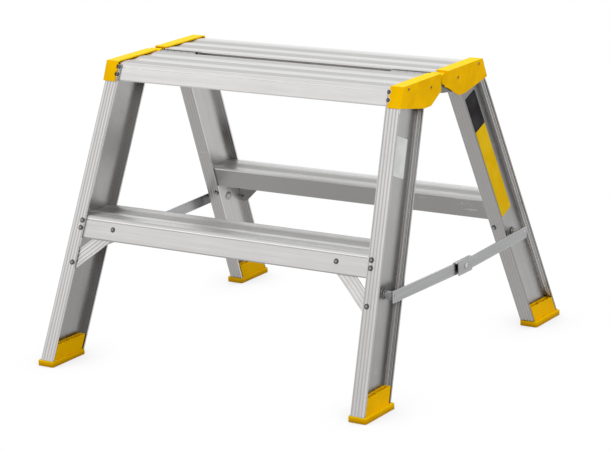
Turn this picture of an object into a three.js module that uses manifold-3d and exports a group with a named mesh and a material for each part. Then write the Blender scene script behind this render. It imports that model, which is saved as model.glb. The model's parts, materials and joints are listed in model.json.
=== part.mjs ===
// Folding double-sided step trestle: two aluminium ladder frames hinged at the top, with a stay on each side.
// Millimetres, +Z up. X runs along the trestle, the front ladder frame leans back from -Y to the hinge line
// over y = 0, and the origin is on the floor under the middle of the trestle.
import * as THREE from 'three';
import { mergeVertices } from 'three/addons/utils/BufferGeometryUtils.js';
import Module from 'manifold-3d';

const wasm = await Module();
wasm.setup();

// Driving dimensions.

// Stance
const trestleHeight = 500;        // floor to the top of the end caps
const topHalfLength = 294.7;      // middle of the trestle to a stile's outer edge, at the full height
const topHalfDepth = 124.9;       // hinge line to a ladder frame's outer plane, at the full height
const leanDegrees = 22.03;        // ladder frame from the vertical
const splayDegrees = 3.66;        // stile from the ladder frame's middle line, in the frame's plane
const hingeDrop = 11;             // hinge pins below the top of the end caps
const runningGap = 0.3;           // left between pieces that touch or turn on each other

// Stiles: extruded H-section
const stileWidth = 26;
const stileDepth = 78.2;
const stileFlange = 2.6;
const stileWeb = 2;
const reedCount = 4;
const reedPitch = 6;
const reedDepth = 0.7;
const lipHeight = 0.8;            // bead along the outer edges of both flanges
const lipWidth = 2;
const fluteDepth = 0.5;           // fine flutes on the channel side of the flanges
const flutePitch = 2.4;
const fluteCount = 3;

// Treads of the platform and the steps
const treadBelowCap = 2.5;        // platform tread under the top of the end caps
const treadSheet = 3.2;
const treadDip = 1.8;             // valley between two crowned bands
const bandPitch = 43;
const toothPitch = 3.6;
const toothDepth = 0.4;
const toothGap = 1.4;             // between two teeth, at the top and at the floor
const toothFloor = 0.7;
const noseRadius = 3;
const noseDepth = 7;              // nosing above the shadow groove in the skirt
const shadowGroove = 1.5;
const shadowGrooveDepth = 0.7;
const skirtSheet = 2;
const curlReach = 7;              // curled lower edge of a skirt
const edgeChamfer = 2;

// Platform halves
const platformGap = 25;           // between the two halves
const platformEndGap = 1.2;       // between a half's end and the stile's web
const platformSkirt = 30;         // height of the leaning outer skirt
const platformInnerSkirt = 33;    // height of the upright skirt at the hinge
const platformCrown = 8.6;        // first crowned band from the inner edge

// Steps
const stepHeight = 249;           // tread above the floor
const stepSkirt = 38;
const stepCrown = 14.3;
const stepEndGap = 0.4;           // step's ends, cut to the splay, to the stiles' webs

// Rivets
const rivetShank = 2.1;
const rivetHead = 3.5;
const rivetCrown = 1.5;
const rivetTail = 3.1;
const rivetTailHeight = 1.4;
const rivetInset = 6.3;           // from the flange's inner edge
const stepRivetDrops = [10, 23];  // below the tread along the flange, outer face
const innerRivetDrop = 25;        // the same, hinge-side face

// Braces: flat bars with lengthwise ribs, from a stile to the step's skirt
const braceWidth = 25;
const braceSheet = 2.5;
const braceGroove = 0.8;          // depth of the grooves that leave ribs on the outer face
const braceGrooveWidth = 2.4;
const braceGrooveCount = 4;
const braceDrop = 84;             // lower rivet under the upper one's tread line, along the frame
const braceTopDrop = 19.5;        // upper rivet below the tread
const braceReach = 72.1;          // between the two rivets, along the trestle
const braceRampStart = 22;        // joggle, measured from the lower rivet
const braceRampEnd = 52;
const braceFlat = 7;              // flat ends without grooves, from the rivets

// End caps: moulded
const capOverhang = 5.4;          // outer face beyond the stile's edge, at the full height
const capWall = 1.8;
const capSheet = 2.2;
const capLedge = 24;              // width of the strip on the tread
const capWrapWidth = 25.2;        // front wrap
const capWrapHeight = 35.7;
const capWrapSheet = 1.5;
const capSideDepth = 47;          // lowest edge of the side wall below the top
const capSideBottomFrom = 66;     // and where it lies from the hinge line
const capSideBottomTo = 45;
const capHingeEdge = 11.6;        // upright end of the plain cap
const capHingeDepth = 28.6;
const capLugRadius = 10;          // lug round the hinge pin's end
const capLugNeck = 6;             // half height of its neck
const capLugDrop = 13;            // lowest corner of the lug's wall below the hinge
const capTopStop = 13;            // end of the strip from the hinge line
const capCorner = 4;
const notchRadius = 4.8;          // round the platform's rivets
const notchInset = 2.6;           // inwards from the line of the flange's other rivets
const notchDrops = [10.5, 23.6];

// Hinges: one at each end of the platform
const hingeLength = 75;
const hingeEndGap = 0.5;          // to the end cap's lug
const knuckleRadius = 9;
const knuckleCount = 5;
const pinRadius = 3;
const leafSheet = 2.3;
const leafBelowPin = 22;
const leafAbovePin = 7;
const leafNeck = 8;               // thickness of the tongue between a knuckle and its leaf

// Feet: moulded, plugged into the stiles
const footSole = 9.5;
const footOverhang = 4.7;         // beyond the stile's outer edge, at the top of the sole
const footToe = 3.3;              // in front of the stile
const footHeel = 1.2;             // behind it
const footInside = 3;             // beyond the stile's inner edge
const footCorner = 4;
const plugHeight = 36;
const plugWall = 2.2;
const plugPocket = 9;             // depth of the open pockets in its top
const plugHeelGap = 2.5;          // between the plug and the stile's rear lip

// Folding stays
const stayAnchorHeight = 179;     // end pivots
const stayAnchorInset = 40.6;     // into the stile from its outer face
const stayMiddle = 6;             // middle pivot from the hinge line
const stayMiddleDrop = 5.5;       // and below the end pivots
const stayWidth = 20;
const staySheet = 2.3;
const stayCorner = 2.5;
const stayFrontReach = 10;        // square ends past the end pivots
const stayRearReach = 7.5;
const stayClearance = 6.7;        // front bar's inner face outside the stile, at the end pivot
const studRadius = 7.2;
const studNeck = 5;
const studNeckLength = 3;
const studWasher = 8.5;
const studWasherSheet = 1.5;
const studHead = 8;
const studCrown = 2.2;
const studShank = 2.6;
const studCap = 4.2;              // riveted end on the bar
const studCapRise = 0.8;
const stayRivetHead = 5.2;        // domed head on the clip
const stayRivetCrown = 3;
const clipFront = 26;             // reach of the stop clip in front of the middle pivot
const clipFlangeFront = 33;
const clipRear = 18.5;
const clipSheet = 1.8;
const clipRise = 1;               // play between the bars and the clip's flange
const clipHang = 1.5;             // clip's lower edge under the bars

// Smoothness of round pieces
const rivetSides = 10;
const roundSides = 16;
const studSides = 12;
const arcSteps = 4;

// Places worked out from the dimensions.

const lean = THREE.MathUtils.degToRad(leanDegrees);
const splay = THREE.MathUtils.degToRad(splayDegrees);
const platformTop = trestleHeight - treadBelowCap;
const stileTop = platformTop - treadSheet - runningGap;
const stileBottom = footSole + runningGap;
const skirtOffset = stileFlange + runningGap;
const stepOffset = stileDepth - skirtOffset;
const hingeHeight = trestleHeight - hingeDrop;
const capHalfLength = topHalfLength + capOverhang;
const platformEnd = topHalfLength - stileWidth / 2 - stileWeb / 2 - platformEndGap;
const hingeOuterEnd = capHalfLength - capLedge - hingeEndGap;
const hingeInnerEnd = hingeOuterEnd - hingeLength;

// y of a plane of the front ladder frame at height z; offset is measured square to the frame, inwards.
function frameY(z, offset = 0) {
  return -topHalfDepth - (trestleHeight - z) * Math.tan(lean) + offset / Math.cos(lean);
}

// Distance down the ladder frame from the top to the height z.
function dropTo(z) {
  return (trestleHeight - z) / Math.cos(lean);
}

// The same for any point of the front frame's side view.
function dropAt(y, z) {
  return (trestleHeight - z) * Math.cos(lean) - (y + topHalfDepth) * Math.sin(lean);
}

// x of the right stile's outer edge at a distance down the frame.
function stileEdge(drop) {
  return topHalfLength + drop * Math.tan(splay);
}

const stayAnchor = -frameY(stayAnchorHeight, stayAnchorInset);
const stayMiddleHeight = stayAnchorHeight - stayMiddleDrop;
const stayInnerFace = stileEdge(dropAt(-stayAnchor, stayAnchorHeight)) + stayClearance;
const stayOuterFace = stayInnerFace + staySheet;
const rearBarInner = stayOuterFace + runningGap;
const rearBarOuter = rearBarInner + staySheet;
const clipInner = rearBarOuter + runningGap;

// Frame coordinates: x along the trestle, y into the frame, z up the frame, from the top of the outer plane.
const framePlane = new THREE.Matrix4()
  .makeTranslation(0, -topHalfDepth, trestleHeight)
  .multiply(new THREE.Matrix4().makeRotationX(-lean));

// Stile coordinates: the same, turned by the splay about the right stile's outer edge.
const stileAxes = framePlane.clone()
  .multiply(new THREE.Matrix4().makeTranslation(topHalfLength, 0, 0))
  .multiply(new THREE.Matrix4().makeRotationY(-splay));

// Solids.

// A closed geometry as a solid, with merged corners and its faces pointing out.
function solid(geometry, matrix = new THREE.Matrix4()) {
  const placed = geometry.clone().applyMatrix4(matrix);
  placed.deleteAttribute('normal');
  placed.deleteAttribute('uv');
  const merged = mergeVertices(placed, 1e-4);
  const corners = merged.attributes.position;
  const [a, b, c] = [new THREE.Vector3(), new THREE.Vector3(), new THREE.Vector3()];
  const triangles = [];
  let volume = 0;
  for (let i = 0; i < merged.index.count; i += 3) {
    const [p, q, r] = [0, 1, 2].map((k) => merged.index.getX(i + k));
    if (p === q || q === r || r === p) continue;
    triangles.push(p, q, r);
    a.fromBufferAttribute(corners, p);
    b.fromBufferAttribute(corners, q);
    c.fromBufferAttribute(corners, r);
    volume += a.dot(b.cross(c));
  }
  if (volume < 0) triangles.reverse();
  return new wasm.Manifold(new wasm.Mesh({
    numProp: 3,
    vertProperties: new Float32Array(corners.array),
    triVerts: new Uint32Array(triangles),
  }));
}

function join(first, ...others) {
  return others.reduce((all, other) => all.add(other), first);
}

function cut(first, ...others) {
  return others.reduce((all, other) => all.subtract(other), first);
}

function geometryOf(body) {
  const { numProp, vertProperties, triVerts } = body.getMesh();
  const geometry = new THREE.BufferGeometry();
  const corners = new Float32Array((vertProperties.length / numProp) * 3);
  for (let i = 0; i < corners.length; i += 1) {
    corners[i] = vertProperties[Math.floor(i / 3) * numProp + (i % 3)];
  }
  geometry.setAttribute('position', new THREE.BufferAttribute(corners, 3));
  geometry.setIndex([...triVerts]);
  geometry.computeVertexNormals();
  return geometry;
}

// The same geometry on the other side of x = 0.
function mirrored(geometry) {
  return geometryOf(solid(geometry, new THREE.Matrix4().makeScale(-1, 1, 1)));
}

function prism(points, depth) {
  const shape = points instanceof THREE.Shape ? points : new THREE.Shape(points);
  return new THREE.ExtrudeGeometry(shape, { depth, bevelEnabled: false, steps: 1, curveSegments: arcSteps });
}

// Outline of (y, z) points, run along X.
function prismX(points, from, to, matrix = new THREE.Matrix4()) {
  const axes = new THREE.Matrix4().makeBasis(
    new THREE.Vector3(0, 1, 0), new THREE.Vector3(0, 0, 1), new THREE.Vector3(1, 0, 0));
  axes.setPosition(from, 0, 0);
  return solid(prism(points, to - from), matrix.clone().multiply(axes));
}

// Outline of (x, z) points, run along Y.
function prismY(points, from, to, matrix = new THREE.Matrix4()) {
  const axes = new THREE.Matrix4().makeTranslation(0, to, 0)
    .multiply(new THREE.Matrix4().makeRotationX(Math.PI / 2));
  return solid(prism(points, to - from), matrix.clone().multiply(axes));
}

// Outline of (x, y) points, run along Z.
function prismZ(points, from, to, matrix = new THREE.Matrix4()) {
  return solid(prism(points, to - from),
    matrix.clone().multiply(new THREE.Matrix4().makeTranslation(0, 0, from)));
}

function box([x0, y0, z0], [x1, y1, z1], matrix = new THREE.Matrix4()) {
  const middle = new THREE.Matrix4().makeTranslation((x0 + x1) / 2, (y0 + y1) / 2, (z0 + z1) / 2);
  return solid(new THREE.BoxGeometry(x1 - x0, y1 - y0, z1 - z0), matrix.clone().multiply(middle));
}

// A turned piece: (radius, height) points about the local Y axis, from one end of the axis to the other.
function turned(profile, sides, matrix) {
  return solid(new THREE.LatheGeometry(profile.map(([r, h]) => new THREE.Vector2(r, h)), sides), matrix);
}

// A round bar or a hole's tool about the local Y axis.
function round(radius, from, to, sides, matrix) {
  return turned([[0, from], [radius, from], [radius, to], [0, to]], sides, matrix);
}

// Local Y axis laid along X, through (y, z).
function alongX(y, z, x = 0) {
  const turn = new THREE.Matrix4().makeRotationZ(-Math.PI / 2);
  return new THREE.Matrix4().makeTranslation(x, y, z).multiply(turn);
}

function arc(cx, cy, radius, fromDegrees, toDegrees, steps = arcSteps) {
  return Array.from({ length: steps + 1 }, (_, i) => {
    const t = THREE.MathUtils.degToRad(fromDegrees + ((toDegrees - fromDegrees) * i) / steps);
    return new THREE.Vector2(cx + radius * Math.cos(t), cy + radius * Math.sin(t));
  });
}

// A polygon's corners rounded by a radius each.
function rounded(corners, radii, steps = 3) {
  return corners.flatMap((corner, i) => {
    const radius = radii[i];
    if (!radius) return [corner];
    const before = corners[(i + corners.length - 1) % corners.length].clone().sub(corner).normalize();
    const after = corners[(i + 1) % corners.length].clone().sub(corner).normalize();
    const reach = radius / Math.tan(before.angleTo(after) / 2);
    const start = corner.clone().addScaledVector(before, reach);
    const end = corner.clone().addScaledVector(after, reach);
    return new THREE.QuadraticBezierCurve(start, corner, end).getPoints(steps);
  });
}

const point = (x, y) => new THREE.Vector2(x, y);

// Stiles.

// One flange's outer face, from the inner edge to the outer edge, as depths of the reeded surface.
function reeds() {
  const land = stileWidth - reedCount * reedPitch;
  const points = [[-stileWidth, 0]];
  for (let i = 0; i < reedCount; i += 1) {
    for (const t of [0.05, 0.3, 0.7, 0.95]) {
      points.push([-stileWidth + land + (i + t) * reedPitch, reedDepth * (2 * t - 1) ** 2]);
    }
  }
  points.push([0, reedDepth / 2]);
  return points;
}

// Channel side of one flange, from the outer edge to the web: a bead and fine flutes, as heights.
function fluted() {
  const lipTop = stileFlange + lipHeight;
  const points = [[0, lipTop], [-lipWidth, lipTop], [-lipWidth, stileFlange]];
  for (let i = 0; i < fluteCount; i += 1) {
    const x = -lipWidth - (i + 0.5) * flutePitch;
    points.push([x, stileFlange], [x - flutePitch / 4, stileFlange - fluteDepth]);
    points.push([x - flutePitch / 2, stileFlange]);
  }
  points.push([-stileWidth / 2 + stileWeb / 2, stileFlange]);
  return points;
}

function stileOutline() {
  const mirrorDepth = (points) => points.map(([x, y]) => [x, stileDepth - y]).reverse();
  const innerSide = [
    [-stileWidth / 2 - stileWeb / 2, stileDepth - stileFlange], [-stileWidth / 2 - stileWeb / 2, stileFlange],
    [-stileWidth, stileFlange],
  ];
  return [
    ...reeds(), ...fluted(), ...mirrorDepth(fluted()), ...mirrorDepth(reeds()),
    [-stileWidth, stileDepth - stileFlange], ...innerSide,
  ].map(([x, y]) => point(x, y));
}

function stileBody() {
  const long = dropTo(0) + stileDepth;
  const bar = prismZ(stileOutline(), -long, stileDepth, stileAxes);
  const reach = trestleHeight + stileDepth;
  const above = box([0, -reach, stileTop], [reach, reach, stileTop + reach]);
  const below = box([0, -reach, stileBottom - reach], [reach, reach, stileBottom]);
  const anchor = round(studNeck + runningGap, -stileWidth / 2, stileWidth / 2, roundSides,
    alongX(-stayAnchor, stayAnchorHeight, anchorFace()));
  return cut(bar, above, below, anchor, ...flangeRivets().map((rivet) => rivet.hole));
}

// Outer face of the right stile's web at the stay's end pivot.
function anchorFace() {
  return stileEdge(dropAt(-stayAnchor, stayAnchorHeight)) - stileWidth / 2 + stileWeb / 2;
}

// Everything from a gap before the web's inner face outwards.
function beyondWeb(gap) {
  return box([-stileWidth / 2 - stileWeb / 2 - gap, -stileDepth, -2 * dropTo(0)],
    [2 * stileWidth, 2 * stileDepth, stileDepth], stileAxes);
}

// Rivets.

// A domed rivet square to the frame: its head on the outer face at `face`, its tail past `grip`.
function rivetAt(x, drop, face, grip, outwards) {
  const turn = new THREE.Matrix4().makeRotationX(outwards > 0 ? 0 : Math.PI);
  const place = new THREE.Matrix4().makeTranslation(x, face, -drop);
  const matrix = framePlane.clone().multiply(place).multiply(turn);
  const tail = grip + 2 * runningGap;
  const body = turned([
    [0, -rivetCrown - runningGap], [rivetHead * 0.7, -rivetCrown * 0.75 - runningGap],
    [rivetHead, -runningGap],
    [rivetShank, -runningGap], [rivetShank, tail - runningGap],
    [rivetTail, tail - runningGap], [0, tail + rivetTailHeight],
  ], rivetSides, matrix);
  const hole = round(rivetShank + runningGap, -rivetCrown, tail + rivetTailHeight, rivetSides, matrix);
  return { body, hole };
}

function flangeRivetX(drop) {
  return stileEdge(drop) - stileWidth + rivetInset;
}

const stepTopDrop = dropTo(stepHeight);
const braceEnds = {
  low: { drop: stepTopDrop + braceDrop, x: flangeRivetX(stepTopDrop + braceDrop) + 1 },
};
braceEnds.high = { drop: stepTopDrop + braceTopDrop, x: braceEnds.low.x - braceReach };

function flangeRivets() {
  const grip = stileFlange + runningGap + skirtSheet;
  const outer = stepRivetDrops.map((below) => {
    const drop = stepTopDrop + below;
    return rivetAt(flangeRivetX(drop), drop, 0, grip, 1);
  });
  const innerDrop = stepTopDrop + innerRivetDrop;
  const inner = rivetAt(flangeRivetX(innerDrop), innerDrop, stileDepth, grip, -1);
  const brace = rivetAt(braceEnds.low.x, braceEnds.low.drop, 0, stileFlange + runningGap + braceSheet, 1);
  return [...outer, inner, brace];
}

function skirtRivet() {
  const grip = skirtSheet + runningGap + braceSheet;
  return rivetAt(braceEnds.high.x, braceEnds.high.drop, skirtOffset, grip, 1);
}

// Treads.

// Surface of a tread between two y places: crowned bands with fine teeth, from the outer to the inner side.
function treadSurface(fromY, toY, top, crownY) {
  const height = (y) => top - treadDip * Math.sin((Math.PI * (y - crownY)) / bandPitch) ** 2;
  const teeth = Math.floor((toY - fromY) / toothPitch);
  const margin = (toY - fromY - teeth * toothPitch) / 2;
  const points = [point(fromY, height(fromY))];
  for (let i = 0; i < teeth; i += 1) {
    const middle = fromY + margin + (i + 0.5) * toothPitch;
    const floor = height(middle) - toothDepth;
    points.push(point(middle - toothGap / 2, height(middle - toothGap / 2)));
    points.push(point(middle - toothFloor / 2, floor));
    points.push(point(middle + toothFloor / 2, floor));
    points.push(point(middle + toothGap / 2, height(middle + toothGap / 2)));
  }
  points.push(point(toY, height(toY)));
  return points;
}

// An extruded tread with two skirts. outer and inner give the skirts' outside faces as y at a height.
function treadOutline(outer, inner, top, outerBottom, innerBottom, outerCurl, innerCurl, crownY) {
  const sheet = skirtSheet / Math.cos(lean);
  const under = top - treadSheet;
  const noseBend = top - noseRadius / 3;
  const groove = top - noseDepth;
  const outerLip = outerCurl ? [
    point(outer(outerBottom) + sheet + curlReach, outerBottom),
    point(outer(outerBottom) + sheet + curlReach, outerBottom + skirtSheet),
    point(outer(outerBottom + skirtSheet) + sheet, outerBottom + skirtSheet),
  ] : [point(outer(outerBottom) + sheet, outerBottom)];
  const innerLip = innerCurl ? [
    point(inner(innerBottom + skirtSheet) - sheet, innerBottom + skirtSheet),
    point(inner(innerBottom) - sheet - curlReach, innerBottom + skirtSheet),
    point(inner(innerBottom) - sheet - curlReach, innerBottom),
  ] : [point(inner(innerBottom) - sheet, innerBottom)];
  return [
    point(outer(outerBottom + edgeChamfer), outerBottom + edgeChamfer),
    point(outer(outerBottom) + edgeChamfer / 2, outerBottom),
    ...outerLip,
    point(outer(under) + sheet, under),
    point(inner(under) - sheet, under),
    ...innerLip,
    point(inner(innerBottom), innerBottom),
    point(inner(top - noseRadius), top - noseRadius),
    ...treadSurface(outer(top) + noseRadius, inner(top) - noseRadius / 2, top, crownY).reverse(),
    point(outer(noseBend) + noseRadius / 3, noseBend),
    point(outer(top - noseRadius), top - noseRadius),
    point(outer(groove), groove),
    point(outer(groove) + shadowGrooveDepth, groove - shadowGrooveDepth / 2),
    point(outer(groove) + shadowGrooveDepth, groove - shadowGroove + shadowGrooveDepth / 2),
    point(outer(groove - shadowGroove), groove - shadowGroove),
  ];
}

function platformBody() {
  const outer = (z) => frameY(z, skirtOffset);
  const inner = () => -platformGap / 2;
  const outline = treadOutline(outer, inner, platformTop, platformTop - platformSkirt,
    platformTop - platformInnerSkirt, true, false, -platformGap / 2 - platformCrown);
  return prismX(outline, -platformEnd, platformEnd);
}

function stepBody() {
  const outer = (z) => frameY(z, skirtOffset);
  const inner = (z) => frameY(z, stepOffset);
  const bottom = stepHeight - stepSkirt;
  const outline = treadOutline(outer, inner, stepHeight, bottom, bottom, false, true,
    inner(stepHeight) - stepCrown);
  const long = stileEdge(dropTo(0));
  const rivets = [...flangeRivets().slice(0, -1), skirtRivet()];
  const cuts = [...rivets.map((rivet) => rivet.hole), beyondWeb(stepEndGap)];
  const left = cuts.map((tool) => solid(mirrored(geometryOf(tool))));
  return cut(prismX(outline, -long, long), ...cuts, ...left);
}

// Braces.

// Flat bar with lengthwise ribs, joggled from behind the flange to behind the step's skirt.
function braceBody() {
  const low = point(braceEnds.low.x, -braceEnds.low.drop);
  const high = point(braceEnds.high.x, -braceEnds.high.drop);
  const length = low.distanceTo(high);
  const angle = Math.atan2(high.y - low.y, high.x - low.x);
  const half = braceWidth / 2;
  const axes = framePlane.clone()
    .multiply(new THREE.Matrix4().makeTranslation(low.x, 0, low.y))
    .multiply(new THREE.Matrix4().makeRotationY(-angle));
  const behindFlange = skirtOffset;
  const behindSkirt = skirtOffset + skirtSheet + runningGap;
  // A bent strip from one length to another, `near` to `far` thick and `from` to `to` wide.
  const joggled = (start, end, near, far, from, to) => prismZ([
    point(start, behindFlange + near), point(braceRampStart, behindFlange + near),
    point(braceRampEnd, behindSkirt + near), point(end, behindSkirt + near),
    point(end, behindSkirt + far), point(braceRampEnd, behindSkirt + far),
    point(braceRampStart, behindFlange + far), point(start, behindFlange + far),
  ], from, to, axes);
  const grooves = Array.from({ length: braceGrooveCount }, (_, i) => {
    const place = ((i + 1 / 2) / braceGrooveCount - 1 / 2) * braceWidth;
    return joggled(braceFlat, length - braceFlat, -braceGroove, braceGroove,
      place - braceGrooveWidth / 2, place + braceGrooveWidth / 2);
  });
  const ends = [...arc(0, 0, half, 90, 270), ...arc(length, 0, half, -90, 90)];
  const bar = joggled(-half, length + half, 0, braceSheet, -half, half)
    .intersect(prismY(ends, -stileDepth, stileDepth, axes));
  const seats = [...flangeRivets().slice(-1), skirtRivet()];
  return cut(bar, beyondWeb(runningGap), ...grooves, ...seats.map((rivet) => rivet.hole));
}

// End caps.

function capBody(withLug) {
  const outerY = (z) => frameY(z, -capWrapSheet - runningGap);
  const wrapBottom = trestleHeight - capWrapHeight * Math.cos(lean);
  const sideBottom = trestleHeight - capSideDepth;
  const hingeBottom = trestleHeight - capHingeDepth;
  const side = prismX(rounded([
    point(outerY(trestleHeight), trestleHeight), point(outerY(wrapBottom), wrapBottom),
    point(-capSideBottomFrom, sideBottom), point(-capSideBottomTo, sideBottom),
    point(-capHingeEdge, hingeBottom), point(-capHingeEdge, trestleHeight),
  ], [0, capCorner, capCorner, capCorner, 0, 0]), capHalfLength - capWall, capHalfLength);
  const strip = box([capHalfLength - capLedge, outerY(trestleHeight), trestleHeight - capSheet],
    [capHalfLength, -capTopStop, trestleHeight]);
  const wrap = prismX([
    point(outerY(trestleHeight), trestleHeight), point(outerY(wrapBottom), wrapBottom),
    point(frameY(wrapBottom, -runningGap), wrapBottom),
    point(frameY(trestleHeight - capSheet, -runningGap), trestleHeight - capSheet),
    point(frameY(trestleHeight - capSheet, skirtOffset), trestleHeight - capSheet),
    point(frameY(trestleHeight, skirtOffset), trestleHeight),
  ], capHalfLength - capWrapWidth, capHalfLength);
  const notches = notchDrops.map((drop) => {
    const place = new THREE.Matrix4().makeTranslation(flangeRivetX(drop) - notchInset, 0, -drop);
    return round(notchRadius, -stileFlange - capWrapSheet, 0, roundSides, framePlane.clone().multiply(place));
  });
  const plain = cut(join(side, strip, wrap), ...notches);
  return withLug ? cut(join(plain, ...lugParts()), pinBore(capHalfLength - capWall)) : plain;
}

// Round lug over the hinge pin's end, the neck that ties it to the cap past the platform's end, and the side
// wall drawn out to it.
function lugParts() {
  const boss = round(capLugRadius, capHalfLength - capLedge, capHalfLength, roundSides,
    alongX(0, hingeHeight));
  const neck = prismX([
    point(0, hingeHeight - capLugNeck), point(0, hingeHeight + capLugNeck),
    point(-capTopStop, hingeHeight + capLugNeck), point(-capTopStop, trestleHeight - capSheet / 2),
    point(-capTopStop - capLugNeck, trestleHeight - capSheet / 2),
    point(-capTopStop - capLugNeck, hingeHeight - capLugNeck),
  ], platformEnd + runningGap, capHalfLength);
  const bottom = trestleHeight - capHingeDepth;
  const wall = prismX([
    point(0, hingeHeight - capLugDrop), point(0, hingeHeight), point(-capHingeEdge - capWall, hingeHeight),
    point(-capHingeEdge - capWall, bottom), point(-capHingeEdge, bottom),
  ], capHalfLength - capWall, capHalfLength);
  return [boss, neck, wall];
}

// Hole for the hinge pin, from the middle of the trestle out to `end`.
function pinBore(end) {
  return round(pinRadius + runningGap, 0, end, roundSides, alongX(0, hingeHeight));
}

// Hinges.

// Leaf on the front platform half's upright skirt at the right-hand end. The knuckles alternate from the end:
// `first` is 0 where this leaf has the outermost one, or 1.
function leafBody(first) {
  const pitch = (hingeOuterEnd - hingeInnerEnd) / knuckleCount;
  const face = -platformGap / 2 + runningGap;
  const plate = box([hingeInnerEnd, face, hingeHeight - leafBelowPin],
    [hingeOuterEnd - runningGap, face + leafSheet, hingeHeight + leafAbovePin]);
  const knuckles = [];
  for (let i = first; i < knuckleCount; i += 2) {
    const to = hingeOuterEnd - i * pitch - runningGap;
    const from = hingeOuterEnd - (i + 1) * pitch + runningGap;
    const neck = box([from, face + leafSheet / 2, hingeHeight - leafNeck / 2],
      [to, 0, hingeHeight + leafNeck / 2]);
    knuckles.push(round(knuckleRadius, from, to, roundSides, alongX(0, hingeHeight)), neck);
  }
  return cut(join(plate, ...knuckles), pinBore(capHalfLength));
}

function pinBody() {
  const end = capHalfLength - capWall - runningGap;
  return round(pinRadius, hingeInnerEnd + runningGap, end, roundSides, alongX(0, hingeHeight));
}

// Feet.

function footBody() {
  const edge = stileEdge(dropTo(footSole));
  const [x0, x1] = [edge - stileWidth - footInside, edge + footOverhang];
  const [y0, y1] = [frameY(footSole) - footToe, frameY(footSole, stileDepth) + footHeel];
  const plan = [point(x0, y0), point(x1, y0), point(x1, y1), point(x0, y1)];
  const sole = prismZ(rounded(plan, [footCorner, footCorner, footCorner, footCorner]), 0, footSole);
  const long = 2 * dropTo(0);
  const near = stileFlange + lipHeight + runningGap;
  const far = stileDepth - near - plugHeelGap;
  const webOut = -stileWidth / 2 + stileWeb / 2 + runningGap;
  const webIn = webOut - stileWeb - 2 * runningGap;
  const slab = box([0, 2 * y0, footSole / 2], [2 * x1, 0, plugHeight]);
  const openTop = box([0, 2 * y0, plugHeight - plugPocket], [2 * x1, 0, plugHeight + footSole]);
  const half = (web, side) => {
    const plug = box([Math.min(web, side), near, -long], [Math.max(web, side), far, 0], stileAxes);
    const [a, b] = [web, side - Math.sign(side - web) * plugWall];
    const middle = (near + far) / 2;
    const pockets = [[near + plugWall, middle - plugWall / 2], [middle + plugWall / 2, far - plugWall]]
      .map(([from, to]) => box([Math.min(a, b), from, -long], [Math.max(a, b), to, 0], stileAxes));
    return cut(plug.intersect(slab), ...pockets.map((pocket) => pocket.intersect(openTop)));
  };
  return join(sole, half(webOut, -runningGap), half(webIn, -stileWidth + runningGap));
}

// Folding stays.

// A strap in the (y, z) plane with a square end past `anchor` and a round one at `pivot`, bored for rivets.
function strap(anchor, pivot, reach, inner, outer, holes) {
  const half = stayWidth / 2;
  const length = anchor.distanceTo(pivot);
  const outline = [
    ...rounded([point(length, half), point(-reach, half), point(-reach, -half), point(length, -half)],
      [0, stayCorner, stayCorner, 0]),
    ...arc(length, 0, half, -90, 90, 2 * arcSteps).slice(1, -1),
  ].map((corner) => corner.rotateAround(point(0, 0), pivot.clone().sub(anchor).angle()).add(anchor));
  const bores = holes.map(({ x, y }) =>
    round(studShank + runningGap, inner - staySheet, outer + staySheet, studSides, alongX(x, y)));
  return cut(prismX(outline, inner, outer), ...bores);
}

const frontAnchor = point(-stayAnchor, stayAnchorHeight);
const rearAnchor = point(stayAnchor, stayAnchorHeight);
const middlePivot = point(stayMiddle, stayMiddleHeight);

function frontBarBody() {
  return strap(frontAnchor, middlePivot, stayFrontReach, stayInnerFace, stayOuterFace,
    [frontAnchor, middlePivot]);
}

// A domed head that stands on the face x, as (radius, x) points from its foot to its crown.
function dome(radius, face, rise) {
  return [
    [radius, face], [radius * 0.85, face + rise * 0.6], [radius * 0.5, face + rise * 0.93], [0, face + rise],
  ];
}

// The rear bar carries its own end rivet's head.
function rearBarBody() {
  const bar = strap(rearAnchor, middlePivot, stayRearReach, rearBarInner, rearBarOuter, [middlePivot]);
  const inside = rearBarInner + staySheet / 2;
  const head = turned([[0, inside], [studCap, inside], ...dome(studCap, rearBarOuter, studCapRise)],
    studSides, alongX(rearAnchor.x, rearAnchor.y));
  return join(bar, head);
}

// Stepped stud through the stile's web, at the right-hand end of the front anchor: head inside, washer and
// spacer outside. The front one carries the front bar on its shank; the rear one ends at the rear bar.
function studBody(carriesBar) {
  const face = anchorFace();
  const tilt = studHead * Math.tan(splay);
  const inside = face - stileWeb - runningGap - tilt;
  const outside = face + runningGap + tilt;
  const washerFace = outside + studWasherSheet;
  const spacerStart = washerFace + studNeckLength;
  const spacerEnd = (carriesBar ? stayInnerFace : rearBarInner) - runningGap;
  const profile = [
    ...dome(studHead, inside, -studCrown).reverse(),
    [studNeck, inside], [studNeck, outside], [studWasher, outside], [studWasher, washerFace],
    [studNeck, washerFace], [studNeck, spacerStart], [studRadius, spacerStart], [studRadius, spacerEnd],
  ];
  const headFace = stayOuterFace + runningGap;
  const shank = [
    [studShank, spacerEnd], [studShank, headFace], ...dome(studCap, headFace, studCapRise),
  ];
  const end = carriesBar ? shank : [[0, spacerEnd]];
  const place = carriesBar ? frontAnchor : rearAnchor;
  return turned([...profile, ...end], studSides, alongX(place.x, place.y));
}

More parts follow.
